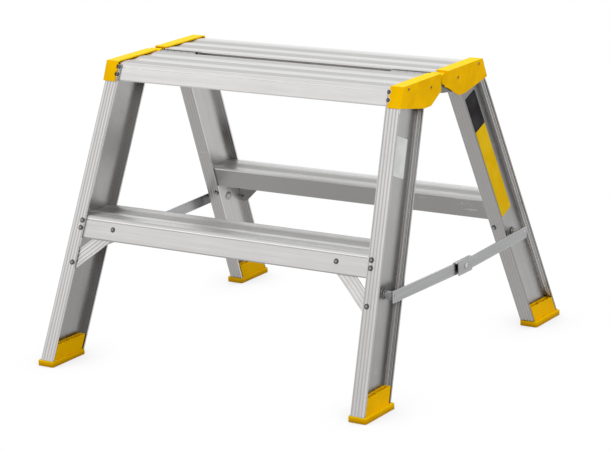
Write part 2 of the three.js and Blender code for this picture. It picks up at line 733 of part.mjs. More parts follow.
// Stop clip: an outer plate and a flange bent in over both bars.
function clipBody() {
  const under = stayMiddleHeight + stayWidth / 2 + clipRise;
  const bottom = stayMiddleHeight - stayWidth / 2 - clipHang;
  const plate = [
    point(stayMiddle - clipFront, bottom), point(stayMiddle + clipRear, bottom),
    point(stayMiddle + clipRear, under + clipSheet), point(stayMiddle - clipFront, under + clipSheet),
  ];
  const outside = prismX(rounded(plate, [clipSheet, clipSheet, 0, 0]), clipInner, clipInner + clipSheet);
  const flange = box([stayInnerFace, stayMiddle - clipFlangeFront, under],
    [clipInner + clipSheet / 2, stayMiddle + clipRear, under + clipSheet]);
  const bore = round(studShank + runningGap, 0, 2 * clipInner, roundSides,
    alongX(middlePivot.x, middlePivot.y));
  return cut(join(outside, flange), bore);
}

function middleRivetBody() {
  const inside = stayInnerFace - runningGap;
  const outside = clipInner + clipSheet + runningGap;
  return turned([
    ...dome(studCap, inside, -studCrown).reverse(),
    [studShank, inside], [studShank, outside], ...dome(stayRivetHead, outside, stayRivetCrown),
  ], studSides, alongX(stayMiddle, stayMiddleHeight));
}

// Assembly.

const aluminium = { color: 0xd0d0cc, metalness: 0.85, roughness: 0.38 };
const milledAluminium = { color: 0xdededb, metalness: 0.85, roughness: 0.32 };
const zincSteel = { color: 0xb4b6b2, metalness: 0.9, roughness: 0.4 };
const yellowPlastic = { color: 0xf2bd00, metalness: 0, roughness: 0.45 };

function piece(name, geometry, look) {
  const material = new THREE.MeshStandardMaterial({ ...look, flatShading: true });
  const mesh = new THREE.Mesh(geometry, material);
  mesh.name = name;
  return mesh;
}

const right = {
  stile: geometryOf(stileBody()),
  brace: geometryOf(braceBody()),
  foot: geometryOf(footBody()),
  plainCap: geometryOf(capBody(false)),
  lugCap: geometryOf(capBody(true)),
  innerLeaf: geometryOf(leafBody(1)),
  outerLeaf: geometryOf(leafBody(0)),
  rivets: [...flangeRivets(), skirtRivet()].map((rivet) => geometryOf(rivet.body)),
};
const platform = geometryOf(platformBody());
const step = geometryOf(stepBody());
const rivetNames = ['step_rivet_upper', 'step_rivet_lower', 'step_rivet_hinge_side', 'brace_rivet_lower',
  'brace_rivet_upper'];

// A ladder frame as it stands at the front. `sides` names its right-hand and left-hand ends.
function ladderFrame(frame, sides) {
  const group = new THREE.Group();
  group.add(piece(`platform_${frame}`, platform.clone(), milledAluminium));
  group.add(piece(`step_${frame}`, step.clone(), milledAluminium));
  sides.forEach((side, i) => {
    const placed = (geometry) => (i === 0 ? geometry.clone() : mirrored(geometry));
    const cap = i === 0 ? right.plainCap : right.lugCap;
    const leaf = i === 0 ? right.innerLeaf : right.outerLeaf;
    group.add(piece(`stile_${frame}_${side}`, placed(right.stile), aluminium));
    group.add(piece(`brace_${frame}_${side}`, placed(right.brace), aluminium));
    group.add(piece(`foot_${frame}_${side}`, placed(right.foot), yellowPlastic));
    group.add(piece(`end_cap_${frame}_${side}`, placed(cap), yellowPlastic));
    group.add(piece(`hinge_leaf_${frame}_${side}`, placed(leaf), aluminium));
    right.rivets.forEach((rivet, k) => {
      group.add(piece(`${rivetNames[k]}_${frame}_${side}`, placed(rivet), zincSteel));
    });
  });
  return group;
}

const trestle = new THREE.Group();
trestle.add(ladderFrame('front', ['right', 'left']));
const rearFrame = ladderFrame('rear', ['left', 'right']);
rearFrame.rotation.z = Math.PI;
trestle.add(rearFrame);

const stay = {
  hinge_pin: [geometryOf(pinBody()), zincSteel],
  stay_bar_front: [geometryOf(frontBarBody()), zincSteel],
  stay_bar_rear: [geometryOf(rearBarBody()), zincSteel],
  stay_clip: [geometryOf(clipBody()), zincSteel],
  stay_rivet: [geometryOf(middleRivetBody()), zincSteel],
  stay_stud_front: [geometryOf(studBody(true)), zincSteel],
  stay_stud_rear: [geometryOf(studBody(false)), zincSteel],
};
for (const [name, [geometry, look]] of Object.entries(stay)) {
  trestle.add(piece(`${name}_right`, geometry, look));
  trestle.add(piece(`${name}_left`, mirrored(geometry), look));
}

export default trestle;
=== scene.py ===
import json
import math
import bpy
import bmesh
from mathutils import Matrix, Vector


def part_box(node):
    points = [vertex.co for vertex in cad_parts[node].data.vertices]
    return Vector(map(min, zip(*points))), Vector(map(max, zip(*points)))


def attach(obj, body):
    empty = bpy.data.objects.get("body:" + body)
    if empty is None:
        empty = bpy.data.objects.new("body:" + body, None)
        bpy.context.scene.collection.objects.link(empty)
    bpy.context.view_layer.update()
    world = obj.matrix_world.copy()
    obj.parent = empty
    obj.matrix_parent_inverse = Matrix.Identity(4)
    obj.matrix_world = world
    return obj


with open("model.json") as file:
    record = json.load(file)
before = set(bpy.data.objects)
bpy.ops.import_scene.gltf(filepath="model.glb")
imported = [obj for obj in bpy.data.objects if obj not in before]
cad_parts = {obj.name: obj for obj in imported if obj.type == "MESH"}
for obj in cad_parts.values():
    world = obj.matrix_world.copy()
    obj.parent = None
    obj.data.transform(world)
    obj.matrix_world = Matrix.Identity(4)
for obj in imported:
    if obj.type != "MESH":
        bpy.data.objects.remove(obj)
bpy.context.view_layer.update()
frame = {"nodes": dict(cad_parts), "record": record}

nodes = frame["nodes"]


# the ladder frames' lines, as the CAD has them, in metres and degrees

trestle = {
    "lean": 22.03, "splay": 3.66, "height": 0.5, "halfLength": 0.2947, "halfDepth": 0.1249,
    "stileWidth": 0.026, "stileDepth": 0.0782, "webFace": 0.012, "capFace": 0.3001,
}


# camera

cameraSet = {
    "target": (0.01232, 0.0, 0.20918),
    "azimuth": 34.195,      # degrees round from the front
    "elevation": 14.935,
    "roll": -2.43,
    "distance": 4.143,
    "lens": 141.42,         # mm on a 36 mm sensor
}


def makeCamera(s):
    a, e, r = (math.radians(s[k]) for k in ("azimuth", "elevation", "roll"))
    back = Vector((math.sin(a) * math.cos(e), -math.cos(a) * math.cos(e), math.sin(e)))
    level = Vector((math.cos(a), math.sin(a), 0))
    upright = back.cross(level)
    right = level * math.cos(r) + upright * math.sin(r)
    up = upright * math.cos(r) - level * math.sin(r)
    cam = bpy.data.objects.new("camera", bpy.data.cameras.new("camera"))
    cam.data.sensor_width = 36
    cam.data.lens = s["lens"]
    place = Matrix((right, up, back)).transposed().to_4x4()
    place.translation = Vector(s["target"]) + back * s["distance"]
    cam.matrix_world = place
    bpy.context.collection.objects.link(cam)
    bpy.context.scene.camera = cam


makeCamera(cameraSet)
print("camera set")


# lamps, world and floor

studio = {
    "worldLight": 1.13,
    "lamps": {
        # name: place, aim, size, watts
        "frontSoftbox": ((-2.0, -2.5, 1.75), (0, 0, 0.3), (2.0, 1.4), 2.4),
        "rightStrip": ((0.9, -3.3, 1.6), (0.1, 0, 0.25), (1.2, 0.9), 1.6),
        "topSoftbox": ((0.2, 0.8, 3.2), (0, 0, 0.3), (2.6, 2.2), 3),
        "sideFill": ((3.4, 0.2, 1.4), (0, 0, 0.3), (1.6, 1.4), 5),
    },
    "floorColour": (0.36, 0.36, 0.36, 1),
    "floorGlow": 0.74, "shadowReach": 0.10, "shadowRange": (0.3, 1.0), "shadowTone": 0.78,
}


# What the camera sees, directly or in a reflection.
def backgroundRays(tree, path):
    total = path.outputs["Is Camera Ray"]
    for kind in ("Is Glossy Ray", "Is Transmission Ray"):
        both = tree.nodes.new("ShaderNodeMath")
        both.operation = "MAXIMUM"
        tree.links.new(total, both.inputs[0])
        tree.links.new(path.outputs[kind], both.inputs[1])
        total = both.outputs[0]
    return total


def makeStudio(s):
    for name, (place, aim, size, watts) in s["lamps"].items():
        lamp = bpy.data.lights.new(name, "AREA")
        lamp.shape = "RECTANGLE"
        lamp.size, lamp.size_y = size
        lamp.energy = watts
        holder = bpy.data.objects.new(name, lamp)
        holder.location = place
        holder.rotation_euler = (Vector(aim) - Vector(place)).to_track_quat("-Z", "Y").to_euler()
        bpy.context.collection.objects.link(holder)
    world = bpy.data.worlds.new("studio")
    bpy.context.scene.world = world
    world.use_nodes = True
    tree = world.node_tree
    tree.nodes.clear()
    out = tree.nodes.new("ShaderNodeOutputWorld")
    seen = tree.nodes.new("ShaderNodeBackground")
    seen.inputs["Color"].default_value = (1, 1, 1, 1)
    seen.inputs["Strength"].default_value = 1
    lit = tree.nodes.new("ShaderNodeBackground")
    lit.inputs["Color"].default_value = (0.97, 0.98, 1.0, 1)
    lit.inputs["Strength"].default_value = s["worldLight"]
    path = tree.nodes.new("ShaderNodeLightPath")
    mix = tree.nodes.new("ShaderNodeMixShader")
    tree.links.new(backgroundRays(tree, path), mix.inputs["Fac"])
    tree.links.new(lit.outputs[0], mix.inputs[1])
    tree.links.new(seen.outputs[0], mix.inputs[2])
    tree.links.new(mix.outputs[0], out.inputs["Surface"])


makeStudio(studio)
print("lamps and world set")


# small helpers for node trees

def newGroup(name, inputs, outputs):
    tree = bpy.data.node_groups.new(name, "ShaderNodeTree")
    for title, kind, value in inputs:
        socket = tree.interface.new_socket(title, in_out="INPUT", socket_type="NodeSocket" + kind)
        if value is not None:
            socket.default_value = value
    for title, kind in outputs:
        tree.interface.new_socket(title, in_out="OUTPUT", socket_type="NodeSocket" + kind)
    return tree, tree.nodes.new("NodeGroupInput"), tree.nodes.new("NodeGroupOutput")


def addNode(tree, kind, links=(), **settings):
    node = tree.nodes.new("ShaderNode" + kind)
    for key, value in settings.items():
        if hasattr(node, key):
            setattr(node, key, value)
        else:
            node.inputs[key].default_value = value
    for socket, source in links:
        tree.links.new(source, node.inputs[socket])
    return node


def mathNode(tree, operation, first, second=0.0, third=None, clamp=False):
    node = tree.nodes.new("ShaderNodeMath")
    node.operation = operation
    node.use_clamp = clamp
    for socket, value in zip(node.inputs, (first, second, third)):
        if value is None:
            continue
        if isinstance(value, (int, float)):
            socket.default_value = value
        else:
            tree.links.new(value, socket)
    return node.outputs[0]


# A value taken from one range to another, held at both ends.
def rangeNode(tree, source, fromMin, fromMax, toMin=0.0, toMax=1.0, soft=True):
    node = tree.nodes.new("ShaderNodeMapRange")
    node.interpolation_type = "SMOOTHSTEP" if soft else "LINEAR"
    node.clamp = True
    for socket, value in zip(node.inputs, (None, fromMin, fromMax, toMin, toMax)):
        if value is None:
            tree.links.new(source, socket)
        else:
            socket.default_value = value
    return node.outputs["Result"]


def mixColour(tree, factor, first, second):
    node = tree.nodes.new("ShaderNodeMix")
    node.data_type = "RGBA"
    factorSocket = [i for i in node.inputs if i.name == "Factor"][0]
    a, b = [i for i in node.inputs if i.type == "RGBA"]
    for socket, value in ((factorSocket, factor), (a, first), (b, second)):
        if isinstance(value, (int, float, tuple)):
            socket.default_value = value
        else:
            tree.links.new(value, socket)
    return [o for o in node.outputs if o.type == "RGBA"][0]


def objectPlace(tree):
    return addNode(tree, "TexCoord").outputs["Object"]


# The face's direction in the rest position, so that a finish keeps its place when its body turns.
def restNormal(tree):
    turned = addNode(tree, "VectorTransform", [("Vector", addNode(tree, "NewGeometry").outputs["Normal"])],
                     vector_type="NORMAL", convert_from="WORLD", convert_to="OBJECT")
    return turned.outputs["Vector"]


# shader groups shared by the materials

# Die lines of an extrusion: streaks that run along one direction, and a soft mottling of the mill finish.
def buildDieLines():
    tree, given, result = newGroup(
        "dieLines",
        [("Direction", "Vector", (1, 0, 0)), ("Pitch", "Float", 900.0), ("Stretch", "Float", 0.985)],
        [("Lines", "Float"), ("Broad", "Float"), ("Mottle", "Float")])
    where = objectPlace(tree)
    along = addNode(tree, "VectorMath", [(0, where), (1, given.outputs["Direction"])], operation="DOT_PRODUCT")
    kept = mathNode(tree, "MULTIPLY", along.outputs["Value"], given.outputs["Stretch"])
    shift = addNode(tree, "VectorMath", [(0, given.outputs["Direction"]), ("Scale", kept)], operation="SCALE")
    flat = addNode(tree, "VectorMath", [(0, where), (1, shift.outputs["Vector"])], operation="SUBTRACT")
    lines = addNode(tree, "TexNoise", [("Vector", flat.outputs["Vector"]), ("Scale", given.outputs["Pitch"])],
                    Detail=4.0, Roughness=0.65)
    wide = mathNode(tree, "MULTIPLY", given.outputs["Pitch"], 0.12)
    broad = addNode(tree, "TexNoise", [("Vector", flat.outputs["Vector"]), ("Scale", wide)],
                    Detail=3.0, Roughness=0.5)
    mottle = addNode(tree, "TexNoise", [("Vector", where)], Scale=38.0, Detail=5.0, Roughness=0.6)
    tree.links.new(lines.outputs["Fac"], result.inputs["Lines"])
    tree.links.new(broad.outputs["Fac"], result.inputs["Broad"])
    tree.links.new(mottle.outputs["Fac"], result.inputs["Mottle"])
    return tree


# Wear on outer corners, and painted shade in the inner ones where other faces stand close, both broken up so that no
# edge is even.
def buildEdgeWearAndShade():
    tree, given, result = newGroup(
        "edgeWearAndShade",
        [("Width", "Float", 0.0012), ("Scale", "Float", 160.0), ("Reach", "Float", 0.002)],
        [("Worn", "Float"), ("Hollow Shade", "Float")])
    bevel = addNode(tree, "Bevel", [("Radius", given.outputs["Width"])], samples=4)
    true = addNode(tree, "NewGeometry").outputs["Normal"]
    turn = addNode(tree, "VectorMath", [(0, bevel.outputs["Normal"]), (1, true)], operation="DOT_PRODUCT")
    edge = mathNode(tree, "SUBTRACT", 1.0, turn.outputs["Value"], clamp=True)
    noise = addNode(tree, "TexNoise", [("Vector", objectPlace(tree)), ("Scale", given.outputs["Scale"])],
                    Detail=3.0, Roughness=0.7)
    worn = mathNode(tree, "MULTIPLY", mathNode(tree, "MULTIPLY", edge, 9.0), noise.outputs["Fac"], clamp=True)
    shade = addNode(tree, "AmbientOcclusion", [("Distance", given.outputs["Reach"])], samples=6)
    hidden = mathNode(tree, "SUBTRACT", 1.0, shade.outputs["AO"], clamp=True)
    uneven = mathNode(tree, "MULTIPLY_ADD", noise.outputs["Fac"], 0.8, 0.6)
    outside = mathNode(tree, "MULTIPLY_ADD", hidden, -3.0, 1.0, clamp=True)
    tree.links.new(mathNode(tree, "MULTIPLY", worn, outside), result.inputs["Worn"])
    tree.links.new(mathNode(tree, "MULTIPLY", hidden, uneven, clamp=True), result.inputs["Hollow Shade"])
    return tree


# Marks of use: hairline scratches at three slants, and dull cloudy patches left by hands and shoes.
def buildHandling():
    tree, given, result = newGroup(
        "handling",
        [("Scale", "Float", 70.0), ("Share", "Float", 0.35)],
        [("Scratches", "Float"), ("Patches", "Float")])
    where = objectPlace(tree)
    total = None
    for turn in ((0.3, 0.9, 0.2), (1.2, 0.1, 0.8), (0.7, 0.5, 2.1)):
        laid = addNode(tree, "Mapping", [("Vector", where)])
        laid.inputs["Rotation"].default_value = turn
        laid.inputs["Scale"].default_value = (0.06, 1.0, 1.0)
        noise = addNode(tree, "TexNoise", [("Vector", laid.outputs["Vector"]), ("Scale", given.outputs["Scale"])],
                        Detail=2.0, Roughness=0.5, Distortion=0.4)
        off = mathNode(tree, "ABSOLUTE", mathNode(tree, "SUBTRACT", noise.outputs["Fac"], 0.5))
        hair = rangeNode(tree, off, 0.0, 0.006, 1.0, 0.0)
        total = hair if total is None else mathNode(tree, "MAXIMUM", total, hair)
    cloud = addNode(tree, "TexNoise", [("Vector", where)], Scale=14.0, Detail=5.0, Roughness=0.6)
    patch = mathNode(tree, "SUBTRACT", 1.0, given.outputs["Share"])
    patches = rangeNode(tree, mathNode(tree, "SUBTRACT", cloud.outputs["Fac"], patch), -0.15, 0.08)
    tree.links.new(mathNode(tree, "MULTIPLY", total, patches), result.inputs["Scratches"])
    tree.links.new(patches, result.inputs["Patches"])
    return tree


# Bands of a tread that runs along X, for its painted light and shade: 0 on a crown and 1 in a valley, only on faces
# that look up, and a thin line beside its nosing. On its skirts, the groove under the nosing and the lowest strip, the
# hem.
def buildTreadBands():
    tree, given, result = newGroup(
        "treadBands",
        [("First Crown", "Float", 0.0211), ("Pitch", "Float", 0.043), ("Last Crown", "Float", 0.107),
         ("Line", "Float", 0.12), ("Groove", "Float", 0.4897), ("Hem", "Float", 0.4535)],
        [("Valley", "Float"), ("Upward", "Float"), ("Nose", "Float"), ("Line", "Float"), ("Groove", "Float"),
         ("Hem", "Float"), ("Bend", "Float")])
    parts = addNode(tree, "SeparateXYZ", [("Vector", objectPlace(tree))])
    out = mathNode(tree, "ABSOLUTE", parts.outputs["Y"])
    turns = mathNode(tree, "DIVIDE", mathNode(tree, "SUBTRACT", out, given.outputs["First Crown"]),
                     given.outputs["Pitch"])
    wave = mathNode(tree, "COSINE", mathNode(tree, "MULTIPLY", turns, 2 * math.pi))
    facing = addNode(tree, "SeparateXYZ", [("Vector", restNormal(tree))])
    upward = rangeNode(tree, facing.outputs["Z"], 0.6, 0.85)
    pastCrown = mathNode(tree, "SUBTRACT", out, given.outputs["Last Crown"])
    banded = mathNode(tree, "MULTIPLY", upward, rangeNode(tree, pastCrown, 0.003, 0.006, 1.0, 0.0))
    valley = mathNode(tree, "MULTIPLY", rangeNode(tree, wave, 0.75, -0.35), banded)
    tree.links.new(mathNode(tree, "MULTIPLY", rangeNode(tree, pastCrown, -0.005, 0.001), upward),
                   result.inputs["Nose"])
    fromLine = mathNode(tree, "ABSOLUTE", mathNode(tree, "SUBTRACT", out, given.outputs["Line"]))
    tree.links.new(mathNode(tree, "MULTIPLY", rangeNode(tree, fromLine, 0.0010, 0.0024, 1.0, 0.0), upward),
                   result.inputs["Line"])
    turned = mathNode(tree, "ABSOLUTE", mathNode(tree, "SUBTRACT", facing.outputs["Z"], 0.76))
    tree.links.new(mathNode(tree, "MULTIPLY", rangeNode(tree, turned, 0.18, 0.22, 1.0, 0.0),
                            rangeNode(tree, pastCrown, 0.0, 0.006)), result.inputs["Bend"])
    fromGroove = mathNode(tree, "ABSOLUTE", mathNode(tree, "SUBTRACT", parts.outputs["Z"], given.outputs["Groove"]))
    overHem = mathNode(tree, "SUBTRACT", parts.outputs["Z"], given.outputs["Hem"])
    upright = rangeNode(tree, mathNode(tree, "ABSOLUTE", facing.outputs["Z"]), 0.8, 0.6)
    tree.links.new(valley, result.inputs["Valley"])
    tree.links.new(mathNode(tree, "MULTIPLY", rangeNode(tree, fromGroove, 0.0008, 0.0012, 1.0, 0.0), upright),
                   result.inputs["Groove"])
    tree.links.new(rangeNode(tree, overHem, 0.001, 0.003, 1.0, 0.0), result.inputs["Hem"])
    tree.links.new(upward, result.inputs["Upward"])
    return tree


# Across an extruded section, masks for painted light and shade: dark lines between the reeds of the faces that look
# along Outward, and the faces of the web, which stand square to Across at the place Web, the flanges' faces inside the
# channels, the half of these that is away from the web (Brink), and the rims.
def buildSection():
    tree, given, result = newGroup(
        "section",
        [("Across", "Vector", (1, 0, 0)), ("Outward", "Vector", (0, 1, 0)), ("Offset", "Float", 0.0),
         ("Plane", "Float", 0.0), ("Pitch", "Float", 0.006), ("Web", "Float", -0.013),
         ("Near", "Float", -0.003), ("Far", "Float", -0.0753)],
        [("Groove", "Float"), ("Web", "Float"), ("Channel", "Float"), ("Brink", "Float"), ("Rim", "Float")])
    placed = addNode(tree, "VectorMath", [(0, objectPlace(tree)), (1, given.outputs["Across"])],
                     operation="DOT_PRODUCT")
    across = mathNode(tree, "SUBTRACT", placed.outputs["Value"], given.outputs["Offset"])
    turns = mathNode(tree, "FRACT", mathNode(tree, "ADD", mathNode(tree, "DIVIDE", across,
                                                                  given.outputs["Pitch"]), 100.5))
    away = mathNode(tree, "ABSOLUTE", mathNode(tree, "SUBTRACT", turns, 0.5))
    true = restNormal(tree)
    looks = addNode(tree, "VectorMath", [(0, true), (1, given.outputs["Outward"])], operation="DOT_PRODUCT")
    reeded = rangeNode(tree, mathNode(tree, "ABSOLUTE", looks.outputs["Value"]), 0.55, 0.75)
    line = mathNode(tree, "MULTIPLY", rangeNode(tree, away, 0.03, 0.26, 1.0, 0.0), reeded)
    fromWeb = mathNode(tree, "ABSOLUTE", mathNode(tree, "SUBTRACT", across, given.outputs["Web"]))
    sideways = addNode(tree, "VectorMath", [(0, true), (1, given.outputs["Across"])], operation="DOT_PRODUCT")
    square = rangeNode(tree, mathNode(tree, "ABSOLUTE", sideways.outputs["Value"]), 0.8, 0.95)
    web = mathNode(tree, "MULTIPLY", rangeNode(tree, fromWeb, 0.0014, 0.0020, 1.0, 0.0), square)
    rim = mathNode(tree, "MULTIPLY", rangeNode(tree, across, -0.0012, -0.0008), square)
    sunk = addNode(tree, "VectorMath", [(0, objectPlace(tree)), (1, given.outputs["Outward"])],
                   operation="DOT_PRODUCT")
    depth = mathNode(tree, "SUBTRACT", sunk.outputs["Value"], given.outputs["Plane"])
    channel = mathNode(tree, "MAXIMUM", *(
        rangeNode(tree, mathNode(tree, "ABSOLUTE", mathNode(tree, "SUBTRACT", depth, given.outputs[side])),
                  0.0009, 0.0012, 1.0, 0.0) for side in ("Near", "Far")))
    tree.links.new(line, result.inputs["Groove"])
    tree.links.new(web, result.inputs["Web"])
    tree.links.new(rangeNode(tree, across, -0.0108, -0.0085), result.inputs["Brink"])
    tree.links.new(rim, result.inputs["Rim"])
    tree.links.new(mathNode(tree, "MULTIPLY", channel, reeded), result.inputs["Channel"])
    return tree


# Painted shade on faces that look down, taking their colour darker.
def buildUndersideShade():
    tree, given, result = newGroup(
        "undersideShade", [("Start", "Float", 0.03), ("Full", "Float", -0.22)], [("Underside Shade", "Float")])
    facing = addNode(tree, "SeparateXYZ", [("Vector", restNormal(tree))])
    span = mathNode(tree, "SUBTRACT", given.outputs["Full"], given.outputs["Start"])
    share = mathNode(tree, "DIVIDE", mathNode(tree, "SUBTRACT", facing.outputs["Z"], given.outputs["Start"]), span)
    tree.links.new(rangeNode(tree, share, 0.0, 1.0), result.inputs["Underside Shade"])
    return tree


# Fine grain of moulded plastic, with a slow unevenness in its gloss.
def buildMouldGrain():
    tree, given, result = newGroup(
        "mouldGrain",
        [("Scale", "Float", 2600.0), ("Cloud", "Float", 22.0)],
        [("Grain", "Float"), ("Cloud", "Float")])
    where = objectPlace(tree)
    grain = addNode(tree, "TexNoise", [("Vector", where), ("Scale", given.outputs["Scale"])], Detail=2.0)
    cloud = addNode(tree, "TexNoise", [("Vector", where), ("Scale", given.outputs["Cloud"])], Detail=4.0)
    tree.links.new(grain.outputs["Fac"], result.inputs["Grain"])
    tree.links.new(cloud.outputs["Fac"], result.inputs["Cloud"])
    return tree


dieLines = buildDieLines()
edgeWearAndShade = buildEdgeWearAndShade()
handling = buildHandling()
treadBands = buildTreadBands()
undersideShade = buildUndersideShade()
section = buildSection()
mouldGrain = buildMouldGrain()


def startMaterial(name):
    material = bpy.data.materials.new(name)
    material.use_nodes = True
    tree = material.node_tree
    return material, tree, tree.nodes["Principled BSDF"]


def placeGroup(tree, group, **values):
    node = tree.nodes.new("ShaderNodeGroup")
    node.node_tree = group
    for key, value in values.items():
        node.inputs[key].default_value = value
    return node


def grey(level, warm=0.0):
    return (level * (1 + warm), level, level * (1 - warm), 1)


# metals

metalSets = {
    "stile": {"light": grey(0.64, 0.012), "dark": grey(0.50, 0.02), "underShade": grey(0.33, 0.02),
              "groove": grey(0.26, 0.02), "rim": grey(0.36, 0.015),
              "roughness": 0.30, "spread": 0.16, "bump": 0.10, "scratch": 0.3, "hollowShade": 0.35, "worn": 0.15},
    "tread": {"light": grey(0.66, 0.012), "dark": grey(0.54, 0.018), "underShade": grey(0.26, 0.02),
              "roughness": 0.33, "spread": 0.16, "bump": 0.07, "scratch": 0.4, "hollowShade": 0.25, "worn": 0.4},
    "step": {"light": grey(0.59, 0.014), "dark": grey(0.49, 0.02), "underShade": grey(0.26, 0.02),
             "roughness": 0.33, "spread": 0.16, "bump": 0.07, "scratch": 0.4, "hollowShade": 0.25, "worn": 0.1},
    "hinge": {"light": grey(0.52, 0.01), "dark": grey(0.38, 0.015), "underShade": grey(0.26, 0.02),
              "roughness": 0.34, "spread": 0.16, "bump": 0.08, "scratch": 0.3, "hollowShade": 0.7, "worn": 0.3},
    "bracket": {"light": grey(0.17, 0.01), "dark": grey(0.11, 0.015), "underShade": grey(0.10, 0.02),
                "roughness": 0.36, "spread": 0.16, "bump": 0.06, "scratch": 0.4, "hollowShade": 0.8, "worn": 0.4},
    "zinc": {"light": grey(0.36, -0.005), "dark": grey(0.26, 0.0), "underShade": grey(0.23, 0.0), "top": grey(0.75),
             "roughness": 0.27, "spread": 0.20, "bump": 0.05, "scratch": 0.3, "hollowShade": 0.5, "worn": 0.9},
    "stud": {"light": grey(0.88, -0.005), "dark": grey(0.74, 0.0), "underShade": grey(0.55, 0.0),
             "end": grey(0.34), "roughness": 0.44, "spread": 0.14, "bump": 0.04, "scratch": 0.2, "hollowShade": 0.25,
             "worn": 0.5},
}
wornColour = grey(0.80)
# colour of the painted shade in hollows and inner corners
hollowShadeColour = grey(0.10, 0.06)


# Painted shade: a tone taken down to the share `high` near the caps and `low` near the feet.
def shadeByHeight(tree, height, tone, high, low):
    return mixColour(tree, rangeNode(tree, height, *shadeHeights, 1 - low, 1 - high), tone, grey(0.0))


def metalMaterial(name, s, direction, bands=None, profile=None, gapShade=None):
    material, tree, shader = startMaterial(name)
    lines = placeGroup(tree, dieLines, Direction=direction)
    wearAndShade = placeGroup(tree, edgeWearAndShade)
    marks = placeGroup(tree, handling)
    underShade = placeGroup(tree, undersideShade)
    streaks = mathNode(tree, "ADD", rangeNode(tree, lines.outputs["Lines"], 0.3, 0.7, 0.0, 0.55),
                       rangeNode(tree, lines.outputs["Broad"], 0.3, 0.7, 0.0, 0.45))
    base = mixColour(tree, streaks, s["dark"], s["light"])
    base = mixColour(tree, mathNode(tree, "MULTIPLY", lines.outputs["Mottle"], 0.3), base, s["light"])
    rough = mathNode(tree, "MULTIPLY_ADD", lines.outputs["Mottle"], s["spread"],
                     s["roughness"] - s["spread"] / 2)
    if bands:
        band = placeGroup(tree, treadBands, **{"First Crown": bands["crown"], "Pitch": bands["pitch"],
                                               "Last Crown": bands["last"], "Line": bands["line"],
                                               "Groove": bands["groove"], "Hem": bands["hem"]})
        # painted shade in the tread's valleys
        base = mixColour(tree, mathNode(tree, "MULTIPLY", band.outputs["Valley"], bands["depth"]), base,
                         bands["colour"])
        # painted light on the faces that look up
        base = mixColour(tree, mathNode(tree, "MULTIPLY", band.outputs["Upward"], bands["upwardLight"]), base,
                         bands["crownLight"])
        # painted sheen on the crowns
        crown = mathNode(tree, "SUBTRACT", band.outputs["Upward"], band.outputs["Valley"], clamp=True)
        base = mixColour(tree, mathNode(tree, "MULTIPLY", crown, bands["shine"]), base, bands["crownLight"])
        # painted highlight on the nosing
        base = mixColour(tree, band.outputs["Nose"], base, bands["noseLight"])
        # a painted shade line on the top beside the nosing, standing in for the shadow of the groove
        base = mixColour(tree, mathNode(tree, "MULTIPLY", band.outputs["Line"], bands["lineDepth"]), base,
                         bands["colour"])
        # painted shade on the bend of the nosing, taking down its highlight
        base = mixColour(tree, mathNode(tree, "MULTIPLY", band.outputs["Bend"], bands["bendDepth"]), base,
                         bands["bendShade"])
        # painted light over the shadow in the groove under the nosing
        base = mixColour(tree, band.outputs["Groove"], base, bands["grooveLight"])
        # painted shade on the lowest strip of the skirt, the hem
        base = mixColour(tree, mathNode(tree, "MULTIPLY", band.outputs["Hem"], bands["hemDepth"]), base,
                         bands["hemShade"])
        rough = mathNode(tree, "MULTIPLY_ADD", band.outputs["Valley"], 0.12, rough)
    # strength of the painted shade in hollows and inner corners
    hollowShade = mathNode(tree, "MULTIPLY", wearAndShade.outputs["Hollow Shade"], s["hollowShade"])
    if profile:
        cut = placeGroup(tree, section, Across=profile["across"], Outward=profile["outward"],
                         Offset=profile["offset"], Plane=profile["plane"])
        place = addNode(tree, "SeparateXYZ", [("Vector", objectPlace(tree))])
        # painted shade of each stile's faces, set for each stile and by height
        base = shadeByHeight(tree, place.outputs["Z"], base, *profile["tones"]["face"])
        # painted light and shade of the web, set for each stile
        web = shadeByHeight(tree, place.outputs["Z"], mixColour(tree, streaks, grey(0.88, 0.016), grey(1.0, 0.012)),
                         *profile["tones"]["web"])
        base = mixColour(tree, cut.outputs["Web"], base, web)
    # painted shade on faces that look down
    base = mixColour(tree, underShade.outputs["Underside Shade"], base, s["underShade"])
    # painted light on the upward faces
    if "top" in s:
        facing = addNode(tree, "SeparateXYZ", [("Vector", restNormal(tree))])
        base = mixColour(tree, rangeNode(tree, facing.outputs["Z"], 0.3, 0.7), base, s["top"])
    # painted shade on the end faces, taking down a lamp's glint
    if "end" in s:
        turned = addNode(tree, "SeparateXYZ", [("Vector", restNormal(tree))])
        endOn = mathNode(tree, "ABSOLUTE", turned.outputs["X"])
        base = mixColour(tree, rangeNode(tree, endOn, 0.5, 0.8), base, s["end"])
    # painted shade in the gap between the hinge's halves
    if gapShade:
        parts = addNode(tree, "SeparateXYZ", [("Vector", objectPlace(tree))])
        across = mathNode(tree, "ABSOLUTE", parts.outputs["Y"])
        base = mixColour(tree, rangeNode(tree, across, gapShade["half"] * 0.5, gapShade["half"], 1.0, 0.0), base,
                         gapShade["colour"])
    if profile:
        # painted light and shade of the flanges inside the channel, set for each stile
        fluted = mixColour(tree, lines.outputs["Lines"], grey(0.75, 0.016), grey(1.0, 0.012))
        fluted = shadeByHeight(tree, place.outputs["Z"], fluted, *profile["tones"]["channel"])
        # painted shade on the half of the channel away from the web
        brink = shadeByHeight(tree, place.outputs["Z"], fluted, *profile["tones"]["brink"])
        fluted = mixColour(tree, cut.outputs["Brink"], fluted, brink)
        base = mixColour(tree, cut.outputs["Channel"], base, fluted)
        # painted shade lines in the creases between the reeds
        base = mixColour(tree, mathNode(tree, "MULTIPLY", cut.outputs["Groove"], profile["depth"]), base, s["groove"])
